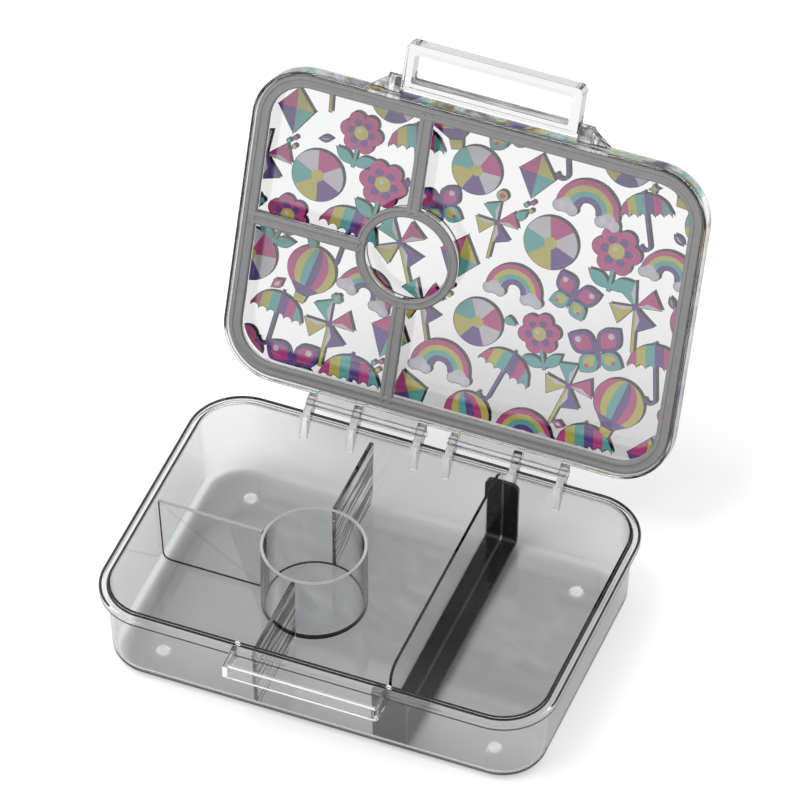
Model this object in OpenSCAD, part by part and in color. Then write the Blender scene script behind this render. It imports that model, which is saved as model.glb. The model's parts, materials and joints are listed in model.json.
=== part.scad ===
// Bento lunch box, in millimetres: a clear tray with a hinged lid, a frame
// handle that is also the latch, a round dip cup with three fixed partitions
// round it, and one divider that slides along the tray.
// Frame: origin at the middle of the tray's flat underside, +X to the right,
// +Y towards the hinge, +Z up. The feet reach below it. The lid is drawn
// resting on its stop.

/* [Tray] */
// Width over the rim flange
tray_w = 235; // [228:1:250]
// Depth over the rim flange
tray_d = 163; // [156:1:172]
// Height of the rim flange above the tray's underside
tray_h = 45; // [41:1:55]
// Corner radius of the rim flange
corner_r = 28; // [26:0.5:31]
// Wall thickness
wall_t = 1.8; // [1.5:0.1:2.1]
// Floor thickness
floor_t = 2.6; // [2:0.1:3.2]
// How far the wall leans in from top to bottom
lean_in = 2.3; // [1:0.1:3]
// Overhang of the rim flange
flange_over = 3.8; // [3.4:0.1:4.4]
// Height of the flange's outer skirt
skirt_h = 4; // [3:0.5:6]
// Height of the four moulded feet
foot_h = 1; // [0.6:0.1:2]

/* [Inserts] */
// Centre of the dip cup along X
cup_x = -29.6; // [-33:0.2:-24]
// Outer radius of the dip cup
cup_r = 26.3; // [24:0.1:27.5]
// Wall thickness of the dip cup
cup_t = 1.8; // [1.4:0.1:2.4]
// Thickness of the fixed partitions
part_t = 2; // [1.4:0.1:2.6]
// Gap from the rim plane down to the cup and partitions
insert_drop = 2.8; // [1.5:0.1:5]
// Position of the sliding divider along X
divider_x = 39.5; // [14:0.5:76]
// Thickness of the divider's clear panel
panel_t = 1.5; // [1.2:0.1:2]
// Height of the panel above the rim plane
panel_rise = 7.6; // [4:0.1:8.2]
// Width of the divider's black foot
foot_w = 17.5; // [12:0.5:20]
// Thickness of the divider's black foot
shoe_t = 2.2; // [1.8:0.1:2.6]

/* [Lid] */
// Opening angle at which the lid is drawn
lid_open = 111; // [0:1:111]
// Height of the lid
lid_h = 12; // [11.6:0.1:15]
// Lid overhang past the tray at the front and at the back
lid_over = 1.5; // [0.8:0.1:1.8]
// Radius of the lid's upper edge
lid_round = 4.5; // [3:0.1:5]
// Thickness of the lid's top plate
plate_t = 1.7; // [1.4:0.1:2]
// Width of the gasket band round the rim
band_w = 5.75; // [5:0.05:6.2]
// Width of the gasket's two bars
bar_w = 6.8; // [5:0.1:8]
// Thickness of the gasket
gasket_t = 2; // [1.4:0.1:2.4]

/* [Hinge] */
// Distance from the tray's back edge to the hinge axis
axis_out = 6; // [5.6:0.1:6.6]
// Hinge pin radius
pin_r = 1.5; // [1.2:0.1:1.8]
// Hinge ear thickness
ear_t = 3.8; // [3:0.1:4.4]
// Distance of the outermost ears from the middle
ear_outer = 66.5; // [60:0.5:72]
// Distance of the middle ears from the middle
ear_middle = 42; // [34:0.5:46]
// Distance of the innermost ears from the middle
ear_inner = 8.5; // [7:0.5:14]

/* [Handle] */
// Angle the handle is drawn at: 0 in line with the lid, 90 folded down
handle_fold = 0; // [-80:5:90]
// Half the handle's outer width
handle_half = 45.5; // [40:0.5:50]
// Length of the handle from its root to its outer edge
handle_len = 24.6; // [22:0.2:28]
// Depth of the handle across its frame
handle_deep = 8.5; // [7:0.1:8.8]
// Width of the grip bar
grip_w = 5.3; // [4:0.1:6.5]
// Width of the handle's two arms
arm_w = 5; // [4:0.1:6]
// Thickness of the catch bar
catch_t = 2.5; // [2:0.1:2.6]

/* [Hidden] */
$fn = 96;
clear = [0.86, 0.88, 0.89, 0.4];
black = [0.06, 0.06, 0.07];
grey = [0.55, 0.55, 0.56];
printed = [0.95, 0.93, 0.95];
steel = [0.8, 0.81, 0.82];

cut = 1;                // how far a cutting tool runs past a face
fuse = 0.5;             // how far a joined form runs into its neighbour
gap = 0.3;              // air between a loose piece and its seat
turn_clear = 0.05;      // radial clearance of a turning fit
pin_clear = 0.03;       // radial clearance of a pin in its fixed ears
stop_clear = 0.08;      // air left between the open lid and the ears' corners
seal_clear = 0.35;      // divider panel to the closed lid's gasket

// tray
cx = tray_w / 2 - corner_r;               // corner centres
cy = tray_d / 2 - corner_r;
wall_top = corner_r - flange_over;        // wall's outer face, from the corner centre
wall_low = wall_top - lean_in;
outer_round = 6;
inner_round = 4.4;
flange_t = 1.6;
skirt_t = 1.4;
bead_w = 1.3;                             // sealing bead on the wall's top
bead_h = 0.8;
foot_top_r = 3.4;
foot_low_r = 2.8;
foot_in = 3.5;                            // feet, inwards of the corner centres
foot_back = 1.5;                          // feet, outwards of them in depth

// lid, drawn closed and then turned about the hinge
rim_z = tray_h + gap;
lid_cy = tray_d / 2 + lid_over - corner_r;
lid_y = tray_d / 2 + lid_over;
top_z = rim_z + lid_h;
plate_z = top_z - plate_t;
lid_wall = 1.8;
film_t = 0.3;
film_edge = 0.8;                          // flat left round the film
film_r = corner_r - lid_round - film_edge;
film_fit = 0.15;
seal_z = tray_h + bead_h + gap;
shelf_z = seal_z + gasket_t;
shelf_t = 1.3;
rib_t = 1.8;
band_set = 3.2;                           // gasket band, inwards of the lid's outer face
band_out = corner_r - band_set;
band_in = band_out - band_w;
ring_w = 4.8;
ring_out = cup_r + 0.2;
ring_in = ring_out - ring_w;
ring_mid = (ring_out + ring_in) / 2;

// sliding divider
foot_drop = 3.3;                          // the foot's uprights, below the rim plane
slot_fit = 0.1;                           // the panel's play in the foot's slot

// hinge
axis_y = tray_d / 2 + axis_out;
axis_z = tray_h;
lid_stop = 111;                           // angle at which the ears stop the lid
stop_gap = axis_y - lid_y - stop_clear;   // lid's back face to the axis
ear_r = stop_gap / (sin(lid_stop) - cos(lid_stop));
ear_side = gap;
knuckle_r = 2.8;
knuckle_h = 3.2;
rib_drop = 15;
rib_foot = 0.8;
pin_end = 1.2;
ears = [ear_outer, ear_middle, ear_inner];

// handle and catch
pivot_out = 5;
pivot_y = -(lid_y + pivot_out);
pivot_rise = 7;
pivot_z = rim_z + pivot_rise;
root_in = 2;                              // handle's root, inwards of its pivot
root_w = 4.4;
trunnion_r = 2;
trunnion_l = 3.6;
lug_w = 7.2;
lug_r = 3.6;
gusset_w = 9;
gusset_t = 4.4;
reach = handle_len - root_in - grip_w;    // pivot to the inside of the grip
catch_out = 3.8;                          // catch bar's outer face, in front of the pivot
catch_drop = 1.8;                         // its top, below the rim plane
catch_snap = 0.65;                        // its underside, above the inside of the folded grip
catch_low = pivot_z - reach + catch_snap;
catch_top = tray_h - catch_drop;
catch_side = 0.5;                         // air between the catch bar and the handle's arms
catch_half = handle_half - arm_w - catch_side;
cheek_t = 2.2;

// Outer face of the tray's wall at height z, measured from the corner centre.
function wall_x(z) = wall_low + lean_in * z / tray_h;

// Section from x_in out to a leaning side at x_low (z_low) and x_top (z_top),
// with its lower outer corner rounded.
module leaning_section(x_in, x_low, z_low, x_top, z_top, r) {
  lean = atan((x_top - x_low) / (z_top - z_low));
  xc = x_low - r * (1 - sin(lean)) / cos(lean);
  touch = [xc + r * cos(lean), z_low + r * (1 - sin(lean))];
  polygon([[x_in, z_low], [xc, z_low], touch, [x_top, z_top], [x_in, z_top]]);
  translate([xc, z_low + r]) circle(r = r);
}

// The tray's hollow, set in by inset, up to z_top; x_mid is the corner centre.
module hollow_section(x_in, x_mid, inset, z_top) {
  z_low = floor_t + inset;
  side = x_mid - wall_t - inset;
  leaning_section(x_in, side + wall_x(z_low), z_low, side + wall_x(z_top), z_top, inner_round);
}

// Carry a section round a rounded rectangle with corner centres at +-x, +-y.
module swept(x, y) {
  for (q = [0:3]) {
    side_x = (q == 0 || q == 3) ? x : -x;
    side_y = (q < 2) ? y : -y;
    translate([side_x, side_y, 0])
      rotate([0, 0, 90 * q])
        rotate_extrude(angle = 90) children();
  }
  for (turn = [0, 180]) {
    rotate([0, 0, turn])
      translate([x, y, 0])
        rotate([90, 0, 0])
          linear_extrude(height = 2 * y) children();
    rotate([0, 0, turn])
      translate([-x, y, 0])
        rotate([90, 0, 90])
          linear_extrude(height = 2 * x) children();
  }
}

// Extrude a section drawn in Y and Z along X, centred on x.
module along_x(x, w) {
  translate([x - w / 2, 0, 0])
    rotate([90, 0, 90])
      linear_extrude(height = w) children();
}

// Extrude a section drawn in X and Z along Y, centred on y.
module along_y(y, w) {
  translate([0, y + w / 2, 0])
    rotate([90, 0, 0])
      linear_extrude(height = w) children();
}

// A rod along X from x0 to x1.
module rod_x(x0, x1, y, z, r) {
  translate([x0, y, z])
    rotate([0, 90, 0])
      cylinder(r = r, h = x1 - x0);
}

// Turn a piece drawn on the closed lid to where the lid is drawn.
module on_lid() {
  translate([0, axis_y, axis_z])
    rotate([-lid_open, 0, 0])
      translate([0, -axis_y, -axis_z]) children();
}

// ---- tray ----

module tray_section() {
  bead_x = wall_top - wall_t + bead_w;
  top_in = wall_top - wall_t - cut;
  under = tray_h - flange_t;
  skirt_x = corner_r - skirt_t;
  difference() {
    union() {
      leaning_section(0, wall_low, 0, wall_x(under + fuse), under + fuse, outer_round);
      polygon([[top_in, under], [skirt_x, under], [skirt_x, tray_h - skirt_h],
               [corner_r, tray_h - skirt_h], [corner_r, tray_h], [bead_x, tray_h],
               [bead_x, tray_h + bead_h], [top_in, tray_h + bead_h]]);
    }
    hollow_section(-cut, 0, 0, tray_h + 2 * cut);
  }
}

// One hinge ear: a round eye with a square back corner that stops the lid, and
// a rib that runs down the wall.
module hinge_ear(x) {
  low_z = tray_h - rib_drop;
  face_y = cy + wall_x(low_z);
  root_y = face_y - fuse;
  difference() {
    along_x(x, ear_t) {
      translate([axis_y, axis_z]) circle(r = ear_r);
      translate([axis_y, axis_z]) square([ear_r, ear_r]);
      polygon([[root_y, low_z], [face_y + rib_foot, low_z],
               [axis_y + 0.6 * ear_r, axis_z - 0.8 * ear_r], [axis_y, axis_z], [root_y, axis_z]]);
    }
    rod_x(x - ear_t, x + ear_t, axis_y, axis_z, pin_r + pin_clear);
  }
}

// The bar the handle latches under, on two cheeks that stand off the front.
module catch_bar() {
  root_y = cy + wall_x(catch_low) - fuse;
  front_y = pivot_y - catch_out;
  tall = catch_top - catch_low;
  translate([-catch_half, front_y, catch_low]) cube([2 * catch_half, catch_t, tall]);
  for (s = [-1, 1])
    translate([s * (catch_half - cheek_t / 2) - cheek_t / 2, front_y, catch_low])
      cube([cheek_t, -root_y - front_y, tall]);
}

module base_tray() {
  color(clear) {
    swept(cx, cy) tray_section();
    translate([-cx, -cy, 0]) cube([2 * cx, 2 * cy, floor_t]);
    for (sx = [-1, 1], sy = [-1, 1])
      translate([sx * (cx - foot_in), sy * (cy + foot_back), -foot_h])
        cylinder(r1 = foot_low_r, r2 = foot_top_r, h = foot_h);
    for (s = [-1, 1], e = ears)
      hinge_ear(s * e);
    catch_bar();
  }
}

// ---- inserts ----

module dip_cup() {
  cup_h = tray_h - insert_drop - floor_t;
  color(clear)
    translate([cup_x, 0, floor_t])
      difference() {
        cylinder(r = cup_r, h = cup_h);
        translate([0, 0, cup_t]) cylinder(r = cup_r - cup_t, h = cup_h);
      }
}

// Side profile of a partition that runs from x_in out to the wall whose corner
// centre is at x_mid.
module partition_section(x_in, x_mid) {
  top = tray_h - insert_drop;
  difference() {
    hollow_section(x_in, x_mid, gap, top);
    translate([x_in - cut, 0]) square([cut, tray_h]);
  }
  translate([x_in, floor_t]) square([x_mid - x_in, cut]);
}

module left_partition() {
  color(clear)
    along_y(0, part_t)
      mirror([1, 0]) partition_section(-cup_x + cup_r + gap, cx);
}

module back_partition() {
  color(clear)
    along_x(cup_x, part_t) partition_section(cup_r + gap, cy);
}

module front_partition() {
  color(clear)
    mirror([0, 1, 0])
      along_x(cup_x, part_t) partition_section(cup_r + gap, cy);
}

// Half of a divider outline, from the middle of the tray to its side wall.
module divider_half(inset, z_top) {
  hollow_section(0, cy, inset, z_top);
}

module divider_panel() {
  sink = gap + shoe_t / 2;                    // how deep the panel sits in the foot
  half = lid_cy + band_in - seal_clear;
  top = tray_h + panel_rise;
  round_r = 8;
  color(clear)
    along_x(divider_x, panel_t)
      for (m = [0, 1])
        mirror([m, 0])
          intersection() {
            divider_half(sink, top);
            union() {
              square([half, top - round_r]);
              square([half - round_r, top]);
              translate([half - round_r, top - round_r]) circle(r = round_r);
            }
          }
}

module divider_foot() {
  sink = gap + shoe_t / 2;
  top = tray_h - foot_drop;
  round_r = 4;
  slot = panel_t + slot_fit;
  color(black)
    difference() {
      intersection() {
        along_x(divider_x, foot_w)
          for (m = [0, 1])
            mirror([m, 0])
              difference() {
                divider_half(gap, top);
                translate([-cut, 0]) divider_half(gap + shoe_t, tray_h + cut);
              }
        along_y(0, tray_d)
          translate([divider_x, 0]) {
            translate([-foot_w / 2, 0]) square([foot_w, top - round_r]);
            translate([round_r - foot_w / 2, 0]) square([foot_w - 2 * round_r, top]);
            for (s = [-1, 1])
              translate([s * (foot_w / 2 - round_r), top - round_r]) circle(r = round_r);
          }
      }
      along_x(divider_x, slot)
        for (m = [0, 1])
          mirror([m, 0]) divider_half(sink, tray_h + cut);
    }
}

// ---- lid ----

module lid_section() {
  inside = lid_round - lid_wall;
  shoulder = top_z - lid_round;
  difference() {
    union() {
      translate([0, rim_z]) square([corner_r, shoulder - rim_z]);
      translate([0, shoulder]) square([corner_r - lid_round, lid_round]);
      translate([corner_r - lid_round, shoulder]) circle(r = lid_round);
    }
    translate([-cut, rim_z - cut]) square([cut + corner_r - lid_wall, cut + shoulder - rim_z]);
    translate([-cut, rim_z]) square([cut + corner_r - lid_round, plate_z - rim_z]);
    translate([corner_r - lid_round, shoulder]) circle(r = inside);
    translate([-cut, top_z - film_t]) square([cut + film_r, cut]);
  }
  rib_section(band_in + band_w / 2, band_w);
}

// T-shaped backing of a gasket strip: a shelf carried by a rib on the plate.
module rib_section(mid, w) {
  translate([mid - w / 2, shelf_z]) square([w, shelf_t]);
  translate([mid - rib_t / 2, shelf_z]) square([rib_t, plate_z + fuse - shelf_z]);
}

module gasket_section(mid, w) {
  translate([mid - w / 2, seal_z]) square([w, gasket_t]);
}

// Lay a strip section under the cup ring and the three bars.
module bars() {
  reach_y = lid_cy + band_in + band_w / 2;
  translate([cup_x, 0, 0]) children(0);
  for (s = [-1, 1])
    along_y(s * (reach_y + ring_mid) / 2, reach_y - ring_mid)
      translate([cup_x, 0]) children(1);
  reach_x = cx + band_in + band_w / 2 + cup_x;
  along_x(cup_x - (reach_x + ring_mid) / 2, reach_x - ring_mid) children(1);
}

module knuckles() {
  for (s = [-1, 1], i = [0, 1]) {
    x0 = ears[i + 1] + ear_t / 2 + ear_side;
    x1 = ears[i] - ear_t / 2 - ear_side;
    difference() {
      along_x(s * (x0 + x1) / 2, x1 - x0) {
        translate([axis_y, axis_z]) circle(r = knuckle_r);
        translate([lid_y - lid_wall / 2, rim_z]) square([axis_y - lid_y + lid_wall / 2, knuckle_h]);
      }
      rod_x(s * (x0 + x1) / 2 - x1, s * (x0 + x1) / 2 + x1, axis_y, axis_z, pin_r + turn_clear);
    }
  }
}

// Two lugs that carry the handle's trunnions, each with a slanted gusset.
module handle_lugs() {
  x0 = handle_half + gap;
  for (s = [0, 1])
    mirror([s, 0, 0])
      difference() {
        union() {
          rod_x(x0, x0 + lug_w, pivot_y, pivot_z, lug_r);
          translate([x0, pivot_y, pivot_z - lug_r])
            cube([lug_w, pivot_out + lid_wall / 2, 2 * lug_r]);
          translate([0, 0, pivot_z - gusset_t / 2])
            linear_extrude(height = gusset_t)
              polygon([[x0 + cut, pivot_y - lug_r / 2], [x0 + lug_w, pivot_y - lug_r / 2],
                       [x0 + lug_w + gusset_w, -lid_y], [x0 + lug_w + gusset_w, lid_wall / 2 - lid_y],
                       [x0 + cut, lid_wall / 2 - lid_y]]);
        }
        rod_x(x0 - cut, x0 + trunnion_l, pivot_y, pivot_z, trunnion_r + turn_clear);
      }
}

module lid_shell() {
  color(clear)
    on_lid() {
      swept(cx, lid_cy) lid_section();
      translate([-cx, -lid_cy, plate_z]) cube([2 * cx, 2 * lid_cy, plate_t - film_t]);
      bars() {
        rotate_extrude() rib_section(ring_mid, ring_w);
        rib_section(0, bar_w);
      }
      knuckles();
      handle_lugs();
    }
}

module lid_gasket() {
  color(grey)
    on_lid() {
      swept(cx, lid_cy) gasket_section(band_in + band_w / 2, band_w);
      bars() {
        rotate_extrude() gasket_section(ring_mid, ring_w);
        gasket_section(0, bar_w);
      }
    }
}

module lid_film() {
  color(printed)
    on_lid() {
      swept(cx, lid_cy)
        translate([0, top_z - film_t]) square([film_r - film_fit, film_t]);
      translate([-cx, -lid_cy, top_z - film_t]) cube([2 * cx, 2 * lid_cy, film_t]);
    }
}

module latch_handle() {
  color(clear)
    on_lid()
      translate([0, pivot_y, pivot_z])
        rotate([handle_fold, 0, 0]) {
          difference() {
            translate([-handle_half, root_in - handle_len, -handle_deep / 2])
              cube([2 * handle_half, handle_len, handle_deep]);
            translate([arm_w - handle_half, -reach, -handle_deep])
              cube([2 * (handle_half - arm_w), reach + root_in - root_w, 2 * handle_deep]);
          }
          for (s = [0, 1])
            mirror([s, 0, 0])
              rod_x(handle_half - cut, handle_half + trunnion_l, 0, 0, trunnion_r);
        }
}

module hinge_pin(s) {
  x0 = ear_inner - ear_t / 2 - pin_end;
  x1 = ear_outer + ear_t / 2;
  color(steel)
    mirror([s, 0, 0])
      rod_x(x0, x1, axis_y, axis_z, pin_r);
}

module hinge_pin_left() hinge_pin(1);

module hinge_pin_right() hinge_pin(0);

base_tray();
dip_cup();
left_partition();
back_partition();
front_partition();
divider_panel();
divider_foot();
lid_shell();
lid_gasket();
lid_film();
latch_handle();
hinge_pin_left();
hinge_pin_right();
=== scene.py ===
"""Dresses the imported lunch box: clear plastic, grey gasket, black divider foot and a printed lid film."""
import json
import math
import random

import bmesh
import bpy
from bpy.props import FloatProperty, FloatVectorProperty, IntProperty, PointerProperty
from bpy.types import Operator, Panel, PropertyGroup
from mathutils import Matrix, Vector
from mathutils.geometry import delaunay_2d_cdt


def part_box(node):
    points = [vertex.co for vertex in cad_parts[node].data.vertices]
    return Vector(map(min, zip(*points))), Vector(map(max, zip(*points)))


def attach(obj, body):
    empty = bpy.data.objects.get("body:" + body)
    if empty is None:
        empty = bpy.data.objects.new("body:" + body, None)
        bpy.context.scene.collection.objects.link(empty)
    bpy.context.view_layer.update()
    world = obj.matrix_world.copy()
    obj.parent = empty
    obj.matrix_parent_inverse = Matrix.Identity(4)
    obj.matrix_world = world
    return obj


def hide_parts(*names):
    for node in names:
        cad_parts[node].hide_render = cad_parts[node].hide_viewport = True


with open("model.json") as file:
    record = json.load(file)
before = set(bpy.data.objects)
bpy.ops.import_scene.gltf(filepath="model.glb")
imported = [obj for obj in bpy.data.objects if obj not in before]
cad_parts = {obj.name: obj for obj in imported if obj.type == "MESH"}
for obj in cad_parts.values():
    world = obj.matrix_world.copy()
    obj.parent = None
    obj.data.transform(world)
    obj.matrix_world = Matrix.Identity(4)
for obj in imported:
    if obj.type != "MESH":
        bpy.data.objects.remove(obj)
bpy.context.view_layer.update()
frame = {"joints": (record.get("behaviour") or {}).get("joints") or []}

bl_info = {
    "name": "Bento lunch box",
    "version": (1, 0, 0),
    "blender": (4, 5, 0),
    "location": "View3D > Sidebar > Lunch box",
    "description": "Builds a clear lunch box with a printed, gasketed lid and a sliding divider",
    "category": "Object",
}

MM = 0.001
JOINTS = {joint["name"]: joint for joint in frame["joints"]}
HINGE = Vector(JOINTS["lid_hinge"]["pos_m"])
LID_TURN = math.radians(JOINTS["lid_hinge"]["range_deg"][1])
CUP_LOW, CUP_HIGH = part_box("dip_cup")
PANEL_LOW, PANEL_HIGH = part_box("divider_panel")
CUP_X = (CUP_LOW.x + CUP_HIGH.x) / 2
CUP_R = (CUP_HIGH.x - CUP_LOW.x) / 2
DIVIDER_X = (PANEL_LOW.x + PANEL_HIGH.x) / 2
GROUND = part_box("base_tray")[0].z

# Middles of the six hinge ears, and of a foot in one quarter of the tray.
EAR_PLACES = [side * x * MM for side in (-1, 1) for x in (66.5, 42, 8.5)]
FOOT_X, FOOT_Y = 86 * MM, 55 * MM
# Ends of a hinge pin and of its bore in the knuckles, from the middle.
PIN_ENDS = 5.4 * MM, 68.4 * MM
BORE_ENDS = 10.5 * MM, 64.5 * MM
# Air between the handle and a lug, and round a piece that is seated in another.
LUG_AIR = 0.3 * MM
SEAT = 0.05 * MM
# How far off a face may lie and still be picked, how deep a fitting is let into a wall, and what keeps two faces out
# of one plane.
NEAR = 0.05 * MM
BURIED = 0.9 * MM
HAIRLINE = 0.01 * MM


def length(name, description, default):
    """A length, given in millimetres."""
    return FloatProperty(name=name, description=description, default=default * MM, unit="LENGTH", precision=5)


def colour(name, description, default):
    """A colour in linear values."""
    return FloatVectorProperty(name=name, description=description, default=default, subtype="COLOR",
                               min=0, max=1)


# ---- sizes and colours ----

class TraySizes(PropertyGroup):
    """Sizes of the tray."""
    half_width: length("Half width", "Middle to the rim's side", 117.5)
    half_depth: length("Half depth", "Middle to the rim's front", 81.5)
    corner: length("Corner", "Corner radius of the rim", 28)
    wall: length("Wall", "Thickness of the wall", 1.8)
    floor: length("Floor", "Thickness of the floor", 2.6)
    lean: length("Lean", "How far the wall leans in from top to bottom", 2.3)
    overhang: length("Overhang", "How far the flange stands out from the wall", 3.8)
    flange: length("Flange", "Thickness of the flange", 1.6)
    skirt: length("Skirt", "Thickness of the flange's skirt", 1.4)
    skirt_height: length("Skirt height", "Height of the flange's skirt", 4)
    bead_width: length("Bead width", "Width of the sealing bead", 1.3)
    bead_height: length("Bead height", "Height of the sealing bead", 0.8)
    outer_round: length("Outer round", "Radius under the floor's edge", 6)
    inner_round: length("Inner round", "Radius inside the floor's edge", 4.4)
    foot: length("Foot", "Radius of a foot where it meets the tray", 3.4)
    foot_low: length("Foot low", "Radius of a foot's flat bottom", 2.8)


class InsertSizes(PropertyGroup):
    """Sizes of the cup, the partitions and the divider."""
    cup_wall: length("Cup wall", "Thickness of the cup", 1.8)
    partition: length("Partition", "Thickness of a partition", 2)
    drop: length("Drop", "Rim down to the cup and the partitions", 2.8)
    gap: length("Gap", "Air round a loose piece", 0.3)
    foot_width: length("Foot width", "Width of the divider's foot", 17.5)
    foot_sheet: length("Foot sheet", "Thickness of the divider's foot", 2.2)
    foot_drop: length("Foot drop", "Rim down to the foot's uprights", 3.3)
    panel: length("Panel", "Thickness of the divider's panel", 1.5)
    panel_rise: length("Panel rise", "Rim up to the panel's top", 7.6)
    panel_half: length("Panel half", "Middle to the panel's end at its top", 73.7)


class LidSizes(PropertyGroup):
    """Sizes of the lid, its gasket and its hinge."""
    gap: length("Gap", "Rim to the closed lid", 0.3)
    height: length("Height", "Height of the lid", 12)
    half_depth: length("Half depth", "Middle to the lid's front", 83)
    wall: length("Wall", "Thickness of the lid's wall", 1.8)
    plate: length("Plate", "Thickness of the lid's plate", 1.7)
    edge: length("Edge", "Radius of the lid's upper edge", 4.5)
    film: length("Film", "Thickness of the printed film", 0.3)
    film_corner: length("Film corner", "Corner radius of the film's recess", 22.7)
    seal: length("Seal", "Rim to the gasket's underside", 1.1)
    gasket: length("Gasket", "Thickness of the gasket", 2)
    band: length("Band", "Width of the gasket round the rim", 6.8)
    band_corner: length("Band corner", "Outer corner radius of the gasket", 25.9)
    bar: length("Bar", "Width of the gasket's bars", 6.8)
    ring: length("Ring", "Width of the gasket's ring", 4.8)
    shelf: length("Shelf", "Thickness of the shelf behind the gasket", 1.3)
    rib: length("Rib", "Thickness of the rib behind the shelf", 1.8)
    ear: length("Ear", "Thickness of a hinge ear", 3.8)
    ear_eye: length("Ear eye", "Radius of a hinge ear", 3.425)
    pin: length("Pin", "Radius of a hinge pin", 1.5)
    knuckle: length("Knuckle", "Radius of a knuckle", 2.8)


class HandleSizes(PropertyGroup):
    """Sizes of the handle and of the bar that it latches under."""
    half_width: length("Half width", "Half the handle's width", 45.5)
    reach: length("Reach", "Length of the handle", 24.6)
    depth: length("Depth", "Depth of the handle's frame", 8.5)
    grip: length("Grip", "Width of the grip bar", 5.3)
    arm: length("Arm", "Width of the arms", 5)
    root: length("Root", "Width of the root bar", 4.4)
    root_in: length("Root in", "Pivot to the root bar's inner face", 2)
    pivot_out: length("Pivot out", "Lid's front face to the pivot", 5)
    pivot_rise: length("Pivot rise", "Closed lid's edge up to the pivot", 7)
    trunnion: length("Trunnion", "Radius of a trunnion", 2)
    lug: length("Lug", "Radius of a lug's eye", 3.6)
    lug_width: length("Lug width", "Width of a lug", 7.2)
    gusset: length("Gusset", "Width of a lug's gusset", 9)
    bar: length("Catch bar", "Thickness of the catch bar", 2.5)
    bar_half: length("Catch half", "Half the catch bar's length", 40)
    bar_low: length("Catch low", "Underside of the catch bar", 35.65)
    bar_high: length("Catch high", "Top of the catch bar", 43.2)


class PrintLook(PropertyGroup):
    """The print on the lid's film."""
    pink: colour("Pink", "Ink", (0.68, 0.075, 0.3))
    purple: colour("Purple", "Ink", (0.16, 0.075, 0.34))
    teal: colour("Teal", "Ink", (0.14, 0.55, 0.52))
    yellow: colour("Yellow", "Ink", (0.72, 0.64, 0.13))
    pale: colour("Pale", "Ink", (0.8, 0.76, 0.84))
    # The dark colour is the printed line round each shape, and also the shifted copy behind each motif, a painted
    # shadow.
    dark: colour("Dark", "Backing of each motif", (0.012, 0.008, 0.02))
    motif: length("Motif", "Size of a large motif", 31.5)
    pitch: length("Pitch", "Distance between large motifs", 30.5)
    # The dark copy of each motif is moved aside by this offset: a painted shadow.
    shift: length("Shift", "Offset of the dark backing", 1.1)
    outline: length("Outline", "Width of the dark line round each shape", 0.35)
    ink: length("Ink", "Thickness of one layer of ink", 0.04)
    seed: IntProperty(name="Seed", description="Order of the scattered motifs", default=11)


class PlasticLook(PropertyGroup):
    """The clear plastic, the gasket and the black foot."""
    clear: colour("Clear", "Tint of the clear plastic", (0.965, 0.97, 0.972))
    shade: FloatProperty(name="Shade", description="Light that a surface of the tray lets through",
                         default=0.72, min=0, max=1, subtype="FACTOR")
    ior: FloatProperty(name="IOR", description="Refractive index of the plastic", default=1.5)
    gasket: colour("Gasket", "Silicone gasket", (0.27, 0.262, 0.265))
    black: colour("Black", "The divider's foot", (0.02, 0.02, 0.021))
    # The slot colour is a painted highlight: a lighter grey on the mouth of the black foot's slot.
    slot: colour("Slot", "The mouth of the foot's slot", (0.17, 0.17, 0.18))
    steel: colour("Steel", "The hinge pins", (0.82, 0.83, 0.84))


class StageLook(PropertyGroup):
    """Camera, floor and light."""
    azimuth: FloatProperty(name="Azimuth", description="Camera's turn to the right", default=math.radians(21.7),
                           subtype="ANGLE")
    elevation: FloatProperty(name="Elevation", description="Camera's height angle",
                             default=math.radians(44.95), subtype="ANGLE")
    distance: length("Distance", "Camera to its target", 4000)
    view_width: length("View width", "Width of the view at the target", 386.2)
    view_right: length("View right", "Target, to the right of the tray's middle", 14.17)
    view_up: length("View up", "Target, above the tray's middle", 75.8)
    floor: colour("Floor", "Floor", (0.9, 0.9, 0.9))
    glow: FloatProperty(name="Glow", description="Lift of the floor as the camera sees it", default=0.34)
    sky: FloatProperty(name="Sky", description="Strength of the light from all round", default=0.6)
    sun: FloatProperty(name="Sun", description="Strength of the key light", default=1.65)


class LunchBox(PropertyGroup):
    """All settings of the lunch box."""
    tray: PointerProperty(type=TraySizes)
    insert: PointerProperty(type=InsertSizes)
    lid: PointerProperty(type=LidSizes)
    handle: PointerProperty(type=HandleSizes)
    print: PointerProperty(type=PrintLook)
    plastic: PointerProperty(type=PlasticLook)
    stage: PointerProperty(type=StageLook)


# ---- outlines ----

def arc(x, y, radius, start, end, steps):
    """Points on an arc, with its angles in degrees."""
    angles = [math.radians(start + (end - start) * k / steps) for k in range(steps + 1)]
    return [(x + radius * math.cos(a), y + radius * math.sin(a)) for a in angles]


def disc(x, y, radius, steps=32):
    """Points on a whole circle."""
    return arc(x, y, radius, 0, 360, steps)[:-1]


def softened(corners, closed=True, steps=5):
    """An outline from corners (x, y, radius), each rounded by its own radius."""
    points = []
    for i, (x, y, radius) in enumerate(corners):
        if radius <= 0 or (not closed and i in (0, len(corners) - 1)):
            points.append((x, y))
            continue
        corner = Vector((x, y))
        back = (Vector(corners[i - 1][:2]) - corner).normalized()
        ahead = (Vector(corners[(i + 1) % len(corners)][:2]) - corner).normalized()
        half = back.angle(ahead) / 2
        centre = corner + (back + ahead).normalized() * (radius / math.sin(half))
        first = corner + back * (radius / math.tan(half)) - centre
        last = corner + ahead * (radius / math.tan(half)) - centre
        start = math.atan2(first.y, first.x)
        turn = math.atan2(first.cross(last), first.dot(last))
        angles = [start + turn * k / steps for k in range(steps + 1)]
        points += [(centre.x + radius * math.cos(a), centre.y + radius * math.sin(a)) for a in angles]
    return points


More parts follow.
